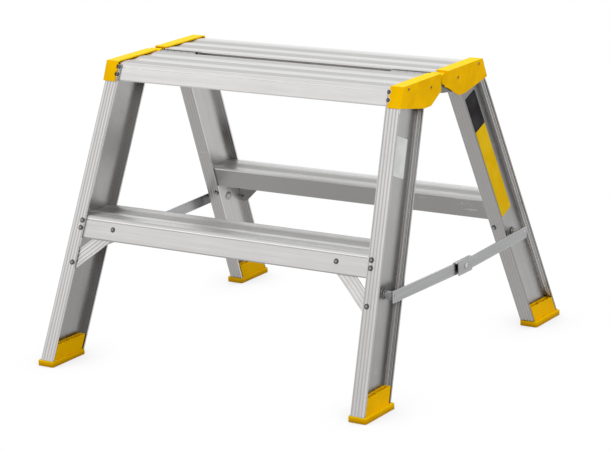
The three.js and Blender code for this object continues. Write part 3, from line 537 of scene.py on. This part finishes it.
        # painted shade on the rims below the caps, set for each stile
        open = rangeNode(tree, place.outputs["Z"], 0.457, 0.461, 1.0, 0.0)
        base = mixColour(tree, mathNode(tree, "MULTIPLY", cut.outputs["Rim"], open), base, profile["rim"])
        hollowShade = mathNode(tree, "MULTIPLY", hollowShade, open)
    base = mixColour(tree, mathNode(tree, "MULTIPLY", marks.outputs["Scratches"], s["scratch"]), base, wornColour)
    base = mixColour(tree, mathNode(tree, "MULTIPLY", wearAndShade.outputs["Worn"], s["worn"]), base, wornColour)
    # painted shade in hollows, darker where other faces stand close
    base = mixColour(tree, hollowShade, base, hollowShadeColour)
    tree.links.new(base, shader.inputs["Base Color"])
    shader.inputs["Metallic"].default_value = 1.0
    tree.links.new(mathNode(tree, "MULTIPLY_ADD", marks.outputs["Patches"], 0.06, rough, clamp=True),
                   shader.inputs["Roughness"])
    height = mathNode(tree, "MULTIPLY_ADD", marks.outputs["Scratches"], -0.5, lines.outputs["Lines"])
    bump = addNode(tree, "Bump", [("Height", height)], Strength=s["bump"], Distance=0.0004)
    tree.links.new(bump.outputs["Normal"], shader.inputs["Normal"])
    return material


# rivets: a light crown inside a dark rim, painted highlight and painted shade

rivetSet = {
    "crown": grey(0.30, 0.01), "rim": grey(0.04, 0.03), "worn": grey(0.5), "roughness": 0.34, "spread": 0.2,
    "bump": 0.08,
}


def rivetMaterial(name, s, axis):
    material, tree, shader = startMaterial(name)
    grain = placeGroup(tree, mouldGrain, Scale=1800.0, Cloud=260.0)
    marks = placeGroup(tree, handling, Scale=240.0, Share=0.5)
    true = restNormal(tree)
    looks = addNode(tree, "VectorMath", [(0, true)], operation="DOT_PRODUCT")
    looks.inputs[1].default_value = axis
    # painted highlight on the crown and painted shade on the rim
    crown = rangeNode(tree, mathNode(tree, "ABSOLUTE", looks.outputs["Value"]), 0.93, 0.985)
    base = mixColour(tree, crown, s["rim"], s["crown"])
    base = mixColour(tree, mathNode(tree, "MULTIPLY", grain.outputs["Cloud"], 0.35), base, s["rim"])
    base = mixColour(tree, mathNode(tree, "MULTIPLY", marks.outputs["Scratches"], 0.4), base, s["worn"])
    tree.links.new(base, shader.inputs["Base Color"])
    shader.inputs["Metallic"].default_value = 1.0
    tree.links.new(mathNode(tree, "MULTIPLY_ADD", grain.outputs["Cloud"], s["spread"],
                            s["roughness"] - s["spread"] / 2), shader.inputs["Roughness"])
    bump = addNode(tree, "Bump", [("Height", grain.outputs["Grain"])], Strength=s["bump"], Distance=0.0002)
    tree.links.new(bump.outputs["Normal"], shader.inputs["Normal"])
    return material


# yellow moulded plastic

plasticSet = {
    "colour": (0.95, 0.52, 0.0, 1), "shade": (0.82, 0.44, 0.0, 1), "worn": (0.86, 0.56, 0.01, 1),
    "hollowShade": (0.62, 0.24, 0.0, 1), "roughness": 0.36, "grain": 0.12, "specular": 0.01,
    "upper": (0.92, 0.67, 0.0, 1), "foot": (0.74, 0.40, 0.0, 1), "footTop": 0.10,
    "low": (0.50, 0.24, 0.0, 1), "lowTop": 0.0090,
}


def plasticMaterial(name, s):
    material, tree, shader = startMaterial(name)
    grain = placeGroup(tree, mouldGrain)
    wearAndShade = placeGroup(tree, edgeWearAndShade, Width=0.001)
    marks = placeGroup(tree, handling, Scale=55.0, Share=0.3)
    facing = addNode(tree, "SeparateXYZ", [("Vector", restNormal(tree))])
    base = mixColour(tree, rangeNode(tree, grain.outputs["Cloud"], 0.35, 0.65), s["colour"], s["shade"])
    # painted light on faces that look up
    base = mixColour(tree, rangeNode(tree, facing.outputs["Z"], 0.6, 0.9), base, s["upper"])
    height = addNode(tree, "SeparateXYZ", [("Vector", objectPlace(tree))]).outputs["Z"]
    # painted shade, darker towards the floor and darkest on the soles
    base = mixColour(tree, mathNode(tree, "MULTIPLY", rangeNode(tree, height, s["footTop"], 0.0), 0.5), base, s["foot"])
    base = mixColour(tree, rangeNode(tree, height, s["lowTop"], 0.0), base, s["low"])
    base = mixColour(tree, mathNode(tree, "MULTIPLY", wearAndShade.outputs["Worn"], 0.6), base, s["worn"])
    base = mixColour(tree, mathNode(tree, "MULTIPLY", marks.outputs["Scratches"], 0.3), base, s["worn"])
    # painted shade in the plastic's hollows and inner corners
    base = mixColour(tree, mathNode(tree, "MULTIPLY", wearAndShade.outputs["Hollow Shade"], 0.8), base, s["hollowShade"])
    tree.links.new(base, shader.inputs["Base Color"])
    rough = mathNode(tree, "MULTIPLY_ADD", grain.outputs["Cloud"], 0.2, s["roughness"] - 0.1)
    tree.links.new(mathNode(tree, "MULTIPLY_ADD", marks.outputs["Patches"], 0.08, rough),
                   shader.inputs["Roughness"])
    shader.inputs["Specular IOR Level"].default_value = s["specular"]
    bump = addNode(tree, "Bump", [("Height", grain.outputs["Grain"])], Strength=s["grain"], Distance=0.0002)
    tree.links.new(bump.outputs["Normal"], shader.inputs["Normal"])
    return material


# printed film of the blank plates

filmSets = {
    "blackFilm": {"colour": (0.013, 0.011, 0.012, 1), "faded": (0.03, 0.03, 0.031, 1), "roughness": 0.42,
                  "specular": 0.05},
    "yellowFilm": {"colour": (0.76, 0.45, 0.0, 1), "faded": (0.80, 0.52, 0.01, 1), "roughness": 0.40,
                   "specular": 0.02},
    "whiteFilm": {"colour": (0.76, 0.77, 0.74, 1), "faded": (0.66, 0.67, 0.64, 1), "roughness": 0.45,
                  "specular": 0.12},
}


def filmMaterial(name, s):
    material, tree, shader = startMaterial(name)
    grain = placeGroup(tree, mouldGrain, Scale=1400.0, Cloud=30.0)
    wearAndShade = placeGroup(tree, edgeWearAndShade, Width=0.0008)
    marks = placeGroup(tree, handling, Scale=90.0, Share=0.45)
    base = mixColour(tree, rangeNode(tree, grain.outputs["Cloud"], 0.4, 0.7), s["colour"], s["faded"])
    base = mixColour(tree, mathNode(tree, "MULTIPLY", marks.outputs["Scratches"], 0.5), base, s["faded"])
    base = mixColour(tree, mathNode(tree, "MULTIPLY", wearAndShade.outputs["Worn"], 0.5), base, s["faded"])
    tree.links.new(base, shader.inputs["Base Color"])
    rough = mathNode(tree, "MULTIPLY_ADD", marks.outputs["Patches"], 0.18, s["roughness"] - 0.06)
    tree.links.new(rough, shader.inputs["Roughness"])
    shader.inputs["Specular IOR Level"].default_value = s["specular"]
    bump = addNode(tree, "Bump", [("Height", grain.outputs["Grain"])], Strength=0.05, Distance=0.0002)
    tree.links.new(bump.outputs["Normal"], shader.inputs["Normal"])
    return material


# finishes on the CAD pieces

# painted light and shade of the treads: shade in the valleys, on a line beside the nosing, on the nose's bend and the
# hem; light on upward faces, crowns, nosing and over the groove
platformBands = {
    "crown": 0.0211, "last": 0.107, "line": 0.125, "lineDepth": 0.0, "bendDepth": 0.0, "bendShade": grey(0.5), "pitch": 0.043, "depth": 0.9,
    "colour": grey(0.40, 0.01), "upwardLight": 0.25, "shine": 0.75, "crownLight": grey(0.90), "noseLight": grey(0.86), "groove": 0.48975,
    "grooveLight": grey(0.92, 0.01), "hem": 0.4526, "hemDepth": 0.4, "hemShade": grey(0.35, 0.01),
}
frontBands = dict(platformBands, crown=0.0425, last=0.13)
stepBands = {
    "crown": 0.0305, "last": 0.2025, "line": 0.2075, "lineDepth": 0.5, "bendDepth": 0.8, "bendShade": grey(0.45), "pitch": 0.043, "depth": 0.9,
    "colour": grey(0.33, 0.01), "upwardLight": 0.15, "shine": 0.7, "crownLight": grey(0.62), "noseLight": grey(0.92), "groove": 0.24225,
    "grooveLight": grey(0.80, 0.01), "hem": 0.2110, "hemDepth": 0.9, "hemShade": grey(0.28, 0.01),
}
# the rear step's painted bands are lighter, a lit copy of the front step's
rearStepBandsLit = dict(stepBands, colour=grey(0.48, 0.01), crownLight=grey(0.85))
# painted light and shade of each stile, near the cap and near the foot; `face` is a share of the plain tone
stileShading = {
    "front_right": {"web": (0.37, 0.31), "channel": (1.0, 1.0), "brink": (0.66, 0.42), "face": (1.0, 0.88),
                    "rim": 0.36},
    "front_left": {"web": (0.38, 0.26), "channel": (0.44, 0.40), "brink": (1.0, 1.0), "face": (1.0, 1.0),
                   "rim": 0.36},
    "rear_left": {"web": (0.46, 0.46), "channel": (0.72, 0.72), "brink": (1.0, 1.0), "face": (1.0, 1.0),
                  "rim": 0.36},
    "rear_right": {"web": (0.21, 0.34), "channel": (1.0, 1.0), "brink": (0.66, 0.66), "face": (0.66, 0.66),
                   "rim": 0.20},
}
shadeHeights = (0.10, 0.40)


# Down a stile, across it and out of its reeded face: leaning with its ladder frame and splayed outwards.
def stileDirections(side, frameSide):
    lean, splay = math.radians(trestle["lean"]), math.radians(trestle["splay"])
    level = Vector((side, 0, 0))
    down = Vector((0, frameSide * math.sin(lean), -math.cos(lean)))
    outward = Vector((0, frameSide * math.cos(lean), math.sin(lean)))
    return (down * math.cos(splay) + level * math.sin(splay),
            level * math.cos(splay) - down * math.sin(splay), outward)


def stileProfile(side, frameSide, tones):
    across, outward = stileDirections(side, frameSide)[1:]
    edge = Vector((side * trestle["halfLength"], frameSide * trestle["halfDepth"], trestle["height"]))
    return {"across": tuple(across), "outward": tuple(outward), "depth": 0.55,
            "offset": edge.dot(across), "plane": edge.dot(outward), "rim": grey(tones["rim"], 0.02),
            "tones": tones}


def giveMaterial(obj, material):
    obj.data.materials.clear()
    obj.data.materials.append(material)


# Small moulding or rolling radius along a CAD piece's corners.
def softenEdges(obj, width):
    weld = obj.modifiers.new("weld", "WELD")
    weld.merge_threshold = 0.00001
    bevel = obj.modifiers.new("radius", "BEVEL")
    bevel.width = width
    bevel.segments = 2
    bevel.limit_method = "ANGLE"
    bevel.angle_limit = math.radians(35)
    bevel.harden_normals = False


hingeGapShade = {"half": 0.0045, "colour": grey(0.03, 0.05)}     # painted shade in the gap between the two halves
yellow = plasticMaterial("yellowMoulding", plasticSet)
rivetMetals = {
    -1: rivetMaterial("frontRivet", rivetSet, tuple(stileDirections(1, -1)[2])),
    1: rivetMaterial("rearRivet", rivetSet, tuple(stileDirections(1, 1)[2])),
    "cap": rivetMaterial("capRivet", rivetSet, (1, 0, 0)),
    "leaf": rivetMaterial("leafRivet", rivetSet, (0, 1, 0)),
}
# a darker copy of the rivet finish: painted shade round the rivet heads
flangeShadeSet = dict(rivetSet, crown=grey(0.13, 0.01), rim=grey(0.05, 0.03))
shadedFlangeMetals = {frameSide: rivetMaterial(name, flangeShadeSet, tuple(stileDirections(1, frameSide)[2]))
                for frameSide, name in ((-1, "frontRivetFlange"), (1, "rearRivetFlange"))}
hingeMetal = metalMaterial("hingeAluminium", metalSets["hinge"], (1, 0, 0), gapShade=hingeGapShade)
# painted shade: the brackets are darkened for the shadow of the caps
shadedBracketMetal = metalMaterial("shadedBracketSteel", metalSets["bracket"], (0, 1, 0))
zincPlate = metalMaterial("zincPlate", metalSets["zinc"], (0, 1, 0))
# a lit copy of the zinc, painted lighter, for the studs and stay rivets on the right
litZincStud = metalMaterial("litZincStud", metalSets["stud"], (1, 0, 0))


def finishPieces():
    halves = {-1: metalMaterial("frontPlatformAluminium", metalSets["tread"], (1, 0, 0), frontBands),
              1: metalMaterial("rearPlatformAluminium", metalSets["tread"], (1, 0, 0), platformBands)}
    steps = {-1: metalMaterial("frontStepAluminium", metalSets["step"], (1, 0, 0), stepBands),
             1: metalMaterial("rearStepAluminium", metalSets["step"], (1, 0, 0), rearStepBandsLit)}
    for name, obj in nodes.items():
        side = 1 if name.endswith("right") else -1
        frameSide = -1 if "front" in name else 1
        if name.startswith(("foot", "end_cap")):
            giveMaterial(obj, yellow)
            softenEdges(obj, 0.0007)
        elif name.startswith("stile"):
            profile = stileProfile(side, frameSide, stileShading[name[len("stile_"):]])
            giveMaterial(obj, metalMaterial(name + "Aluminium", metalSets["stile"],
                                            tuple(stileDirections(side, frameSide)[0]), profile=profile))
        elif name.startswith(("brace_rivet", "step_rivet")):
            giveMaterial(obj, rivetMetals[frameSide])
        elif name.startswith("brace"):
            direction = Vector((side * 0.744, frameSide * 0.25, -0.62)).normalized()
            giveMaterial(obj, metalMaterial(name + "Aluminium", metalSets["stile"], tuple(direction)))
        elif name.startswith("platform"):
            giveMaterial(obj, halves[frameSide])
        elif name.startswith("step"):
            giveMaterial(obj, steps[frameSide])
        elif name.startswith("hinge_leaf"):
            giveMaterial(obj, hingeMetal)
        elif name.startswith(("stay_stud", "stay_rivet")):
            # the right-hand studs and stay rivets take the painted-lighter copy of the zinc
            giveMaterial(obj, litZincStud if side > 0 else zincPlate)
        else:
            giveMaterial(obj, zincPlate)
            if name.startswith(("stay_bar", "stay_clip")):
                softenEdges(obj, 0.00035)


finishPieces()
print("finishes on", len(nodes), "pieces")


# pieces that Blender adds

bodyOf = {n: b for b, members in frame["record"]["behaviour"]["bodies"].items() for n in members}


def addPiece(name, mesh, material, body, sharpAngle=30):
    for polygon in mesh.polygons:
        polygon.use_smooth = True
    mesh.set_sharp_from_angle(angle=math.radians(sharpAngle))
    mesh.materials.append(material)
    piece = bpy.data.objects.new(name, mesh)
    bpy.context.collection.objects.link(piece)
    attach(piece, body)
    return piece


# A turned shape from (radius, height) points, about the place's Z axis.
def turnedMesh(name, profile, sides, place):
    bm = bmesh.new()
    rings = []
    for radius, height in profile:
        if radius < 1e-6:
            rings.append([bm.verts.new(place @ Vector((0, 0, height)))])
        else:
            rings.append([bm.verts.new(place @ Vector((radius * math.cos(2 * math.pi * k / sides),
                                                       radius * math.sin(2 * math.pi * k / sides), height)))
                          for k in range(sides)])
    for low, high in zip(rings, rings[1:]):
        for k in range(sides):
            corners = [low[k % len(low)], low[(k + 1) % len(low)], high[(k + 1) % len(high)], high[k % len(high)]]
            unique = [c for i, c in enumerate(corners) if c not in corners[:i]]
            if len(unique) > 2:
                bm.faces.new(unique)
    bmesh.ops.recalc_face_normals(bm, faces=bm.faces)
    mesh = bpy.data.meshes.new(name)
    bm.to_mesh(mesh)
    bm.free()
    return mesh


# The frame plane of a corner: x along the trestle, y into the frame, z up it, from the top of the outer plane.
def framePlane(side, frameSide):
    flip = Matrix.Diagonal((side, -frameSide, 1, 1))
    lean = Matrix.Rotation(-math.radians(trestle["lean"]), 4, "X")
    return flip @ Matrix.Translation((0, -trestle["halfDepth"], trestle["height"])) @ lean


# The same, turned by the splay about the stile's outer edge.
def stilePlane(side, frameSide):
    splay = Matrix.Rotation(-math.radians(trestle["splay"]), 4, "Y")
    return framePlane(side, frameSide) @ Matrix.Translation((trestle["halfLength"], 0, 0)) @ splay


corners = [(side, frameSide) for frameSide in (-1, 1) for side in (1, -1)]
sideName = {1: "right", -1: "left"}
frameName = {-1: "front", 1: "rear"}


def cornerName(side, frameSide):
    return frameName[frameSide] + "_" + sideName[side]


# blind rivets: a domed head with the hollow that the mandrel leaves

rivetShape = {
    "head": 0.0034, "crown": 0.0014, "hollow": 0.0011, "hollowDepth": 0.0009, "sides": 24,
}


def rivetProfile(s):
    dome = [(s["head"] * math.cos(t), s["crown"] * math.sin(t)) for t in (0.0, 0.3, 0.6, 0.9, 1.15)]
    rim = (s["hollow"], s["crown"] * 0.97)
    return [(0, -0.0001), (s["head"], -0.0001)] + dome + [
        rim, (s["hollow"] * 0.8, s["crown"] * 0.85), (s["hollow"] * 0.75, s["crown"] - s["hollowDepth"]),
        (0, s["crown"] - s["hollowDepth"])]


platformRivets = {"drops": (0.0105, 0.0236), "inset": 0.0032, "lift": 0.0001}


def addPlatformRivets(s):
    profile = rivetProfile(rivetShape)
    for side, frameSide in corners:
        for k, drop in enumerate(s["drops"]):
            x = (trestle["halfLength"] + drop * math.tan(math.radians(trestle["splay"]))
                 - trestle["stileWidth"] + s["inset"])
            outwards = Matrix.Translation((x, -s["lift"], -drop)) @ Matrix.Rotation(math.pi / 2, 4, "X")
            name = "platform_rivet_%s_%d" % (cornerName(side, frameSide), k + 1)
            mesh = turnedMesh(name, profile, rivetShape["sides"], framePlane(side, frameSide) @ outwards)
            addPiece(name, mesh, rivetMetals[frameSide], frameName[frameSide] + "_frame")


addPlatformRivets(platformRivets)

capRivets = {
    "places": ((0.113, 0.4935), (0.043, 0.4835)),   # from the hinge line, above the floor
    "ring": 0.0042, "ringRise": 0.0006, "scale": 0.62,
}


def addCapRivets(s):
    head = [(r * s["scale"], h * s["scale"]) for r, h in rivetProfile(rivetShape)]
    inner = rivetShape["head"] * s["scale"] + 0.0003
    ring = [(inner, 0.0), (inner, s["ringRise"] * 0.7), (inner + 0.0004, s["ringRise"]),
            (s["ring"] - 0.0004, s["ringRise"]), (s["ring"], 0.0), (inner, 0.0)]
    for side, frameSide in corners:
        for k, (y, z) in enumerate(s["places"]):
            flip = Matrix.Diagonal((side, frameSide, 1, 1))
            place = flip @ Matrix.Translation((trestle["capFace"] + 0.0001, y, z)) \
                @ Matrix.Rotation(math.pi / 2, 4, "Y")
            body = frameName[frameSide] + "_frame"
            name = "cap_rivet_%s_%d" % (cornerName(side, frameSide), k + 1)
            addPiece(name, turnedMesh(name, head, rivetShape["sides"], place),
                     rivetMetals["cap"], body)
            name = "cap_boss_%s_%d" % (cornerName(side, frameSide), k + 1)
            addPiece(name, turnedMesh(name, ring, rivetShape["sides"], place), yellow, body)


addCapRivets(capRivets)

leafRivets = {"xs": (0.212, 0.238, 0.264), "z": 0.4735, "face": 0.0099, "scale": 0.75}


def addLeafRivets(s):
    profile = [(r * s["scale"], h * s["scale"]) for r, h in rivetProfile(rivetShape)]
    for side, frameSide in corners:
        for k, x in enumerate(s["xs"]):
            flip = Matrix.Diagonal((side, -frameSide, 1, 1))
            place = flip @ Matrix.Translation((x, -s["face"] + 0.0001, s["z"])) \
                @ Matrix.Rotation(-math.pi / 2, 4, "X")
            name = "leaf_rivet_%s_%d" % (cornerName(side, frameSide), k + 1)
            mesh = turnedMesh(name, profile, rivetShape["sides"], place)
            addPiece(name, mesh, rivetMetals["leaf"], frameName[frameSide] + "_frame")


addLeafRivets(leafRivets)
print("rivets added")


# flat flanges under the heads of the CAD's rivets; `face` is the depth of the face they sit on, into the frame
rivetFlange = {
    "faces": {"step_rivet_upper": (0.0, 1), "step_rivet_lower": (0.0, 1), "brace_rivet_lower": (0.0, 1),
              "brace_rivet_upper": (0.0029, 1), "step_rivet_hinge_side": (0.0782, -1)},
    "radius": 0.0046, "rise": 0.0005, "bevel": 0.0005, "sink": 0.0001, "sides": 24,
}


def addRivetFlanges(s):
    profile = [(0, -s["sink"]), (s["radius"], -s["sink"]), (s["radius"], s["rise"] / 2),
               (s["radius"] - s["bevel"], s["rise"]), (0, s["rise"])]
    for side, frameSide in corners:
        plane = framePlane(side, frameSide)
        for kind, (depth, outwards) in s["faces"].items():
            low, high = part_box(kind + "_" + cornerName(side, frameSide))
            middle = plane.inverted() @ ((low + high) / 2)
            place = (Matrix.Translation((middle.x, depth, middle.z))
                     @ Matrix.Rotation(outwards * math.pi / 2, 4, "X"))
            name = kind.replace("rivet", "rivet_flange") + "_" + cornerName(side, frameSide)
            mesh = turnedMesh(name, profile, s["sides"], plane @ place)
            addPiece(name, mesh, shadedFlangeMetals[frameSide], frameName[frameSide] + "_frame")


addRivetFlanges(rivetFlange)
print("rivet flanges added")


# end brackets of the hinges: a plate inside each cap that carries a lug, from the pin to the stile

hingeBracket = {
    "corners": ((1, 1), (-1, -1)), "inside": 0.2975, "thickness": 0.0016, "round": 0.003, "steps": 4,
    # from the hinge line and above the floor
    "outline": ((-0.0085, 0.4665), (0.046, 0.4600), (0.046, 0.4900), (0.004, 0.4940), (-0.0085, 0.4830)),
    "bead": 0.0003,
}


def roundedOutline(points, radius, steps):
    outline = []
    count = len(points)
    for k in range(count):
        here, last, following = Vector(points[k]), Vector(points[k - 1]), Vector(points[(k + 1) % count])
        start = here + (last - here).normalized() * radius
        end = here + (following - here).normalized() * radius
        for i in range(steps + 1):
            t = i / steps
            outline.append(start * (1 - t) ** 2 + here * (2 * t * (1 - t)) + end * t ** 2)
    return outline


# A flat plate with a small bead round its front edge; `place` has the outline in its Y and Z.
def plateMesh(name, outline, back, front, bead, place):
    middle = sum(outline, Vector((0, 0))) / len(outline)
    bm = bmesh.new()
    rings = []
    for x, inset in ((back, 0), (front - bead, 0), (front, bead)):
        rings.append([bm.verts.new(place @ Vector((x, *(p + (middle - p).normalized() * inset)))) for p in outline])
    for low, high in zip(rings, rings[1:]):
        for k in range(len(outline)):
            n = (k + 1) % len(outline)
            bm.faces.new((low[k], low[n], high[n], high[k]))
    bm.faces.new(rings[0])
    bm.faces.new(rings[-1])
    bmesh.ops.recalc_face_normals(bm, faces=bm.faces)
    mesh = bpy.data.meshes.new(name)
    bm.to_mesh(mesh)
    bm.free()
    return mesh


def addHingeBrackets(s):
    outline = roundedOutline(s["outline"], s["round"], s["steps"])
    for side, frameSide in s["corners"]:
        place = Matrix.Diagonal((side, frameSide, 1, 1))
        name = "hinge_bracket_" + cornerName(side, frameSide)
        mesh = plateMesh(name, outline, s["inside"] - s["thickness"], s["inside"], s["bead"], place)
        addPiece(name, mesh, shadedBracketMetal, frameName[frameSide] + "_frame")


addHingeBrackets(hingeBracket)


# blank plates on the stiles' webs: depth into the frame and distance down the stile, in metres

plates = {
    "plate_black_rear_right": {"corner": (1, 1), "depth": (0.0235, 0.0572), "down": (0.0462, 0.1130),
                               "finish": "blackFilm", "slot": "stile_aluminium"},
    "plate_yellow_rear_right": {"corner": (1, 1), "depth": (0.0240, 0.0577), "down": (0.1133, 0.2870),
                                "finish": "yellowFilm", "slot": "yellow_plastic"},
    "plate_white_front_right": {"corner": (1, -1), "depth": (0.0180, 0.0565), "down": (0.0755, 0.1405),
                                "finish": "whiteFilm", "slot": "stile_aluminium"},
}
plateSheet = {"gap": 0.0001, "thickness": 0.0003, "radius": 0.0022, "edge": 0.00012, "steps": 5}


def addPlate(name, s, sheet):
    y0, y1 = s["depth"]
    z0, z1 = (-d / math.cos(math.radians(trestle["splay"])) for d in reversed(s["down"]))
    outline = roundedOutline(((y0, z0), (y1, z0), (y1, z1), (y0, z1)), sheet["radius"], sheet["steps"])
    back = -trestle["webFace"] + sheet["gap"]
    mesh = plateMesh(name, outline, back, back + sheet["thickness"], sheet["edge"], stilePlane(*s["corner"]))
    addPiece(name, mesh, filmMaterial(s["finish"], filmSets[s["finish"]]),
             frameName[s["corner"][1]] + "_frame")


for name, s in plates.items():
    addPlate(name, s, plateSheet)
print("plates added")


# walls on the web's side of the pockets in the feet's plugs; `heights` are above the floor

pocketWall = {
    "depths": (0.0061, 0.0696), "heights": (0.0271, 0.0364), "radius": 0.0008, "edge": 0.00015, "steps": 3,
    # across the stile, from its outer edge
    "sides": {"outer": (-0.0117, -0.0103), "inner": (-0.0157, -0.0143)},
}


# Distance along a stile at which a point `across` and `depth` into it is at `height`.
def alongStile(across, depth, height):
    lean, splay = math.radians(trestle["lean"]), math.radians(trestle["splay"])
    level = (height - trestle["height"] + depth * math.sin(lean)) / math.cos(lean)
    return (level - across * math.sin(splay)) / math.cos(splay)


def addPocketWalls(s):
    low, high = s["heights"]
    for side, frameSide in corners:
        for face, (back, front) in s["sides"].items():
            corner = [(depth, alongStile(back, depth, height)) for height, depths in
                      ((low, s["depths"]), (high, s["depths"][::-1])) for depth in depths]
            name = "foot_pocket_wall_" + face + "_" + cornerName(side, frameSide)
            mesh = plateMesh(name, roundedOutline(corner, s["radius"], s["steps"]), back, front, s["edge"],
                             stilePlane(side, frameSide))
            addPiece(name, mesh, yellow, frameName[frameSide] + "_frame")


addPocketWalls(pocketWall)


# floor

def makeFloor(s):
    mesh = bpy.data.meshes.new("floor")
    reach = 12
    mesh.from_pydata([(-reach, -reach, 0), (reach, -reach, 0), (reach, reach, 0), (-reach, reach, 0)], [],
                     [(0, 1, 2, 3)])
    floor = bpy.data.objects.new("floor", mesh)
    floor.location.z = -0.0002
    bpy.context.collection.objects.link(floor)
    material, tree, shader = startMaterial("paleFloor")
    shader.inputs["Base Color"].default_value = s["floorColour"]
    shader.inputs["Roughness"].default_value = 0.9
    shader.inputs["Specular IOR Level"].default_value = 0.1
    shader.inputs["Emission Color"].default_value = (1, 1, 1, 1)
    path = tree.nodes.new("ShaderNodeLightPath")
    glow = mathNode(tree, "MULTIPLY", backgroundRays(tree, path), s["floorGlow"])
    tree.links.new(glow, shader.inputs["Emission Strength"])
    # the camera sees the white behind the floor, darkened where the trestle stands close over it, and a frame that
    # folds to below the floor stays in view
    near = addNode(tree, "AmbientOcclusion", samples=8, Distance=s["shadowReach"])
    shade = mixColour(tree, rangeNode(tree, near.outputs["AO"], *s["shadowRange"]), grey(s["shadowTone"]),
                      grey(1.0))
    clear = addNode(tree, "BsdfTransparent", [("Color", shade)])
    seen = tree.nodes.new("ShaderNodeMixShader")
    tree.links.new(path.outputs["Is Camera Ray"], seen.inputs["Fac"])
    tree.links.new(shader.outputs[0], seen.inputs[1])
    tree.links.new(clear.outputs[0], seen.inputs[2])
    tree.links.new(seen.outputs[0], next(n for n in tree.nodes if n.type == "OUTPUT_MATERIAL").inputs["Surface"])
    mesh.materials.append(material)


makeFloor(studio)

bpy.context.scene.view_settings.view_transform = "Standard"
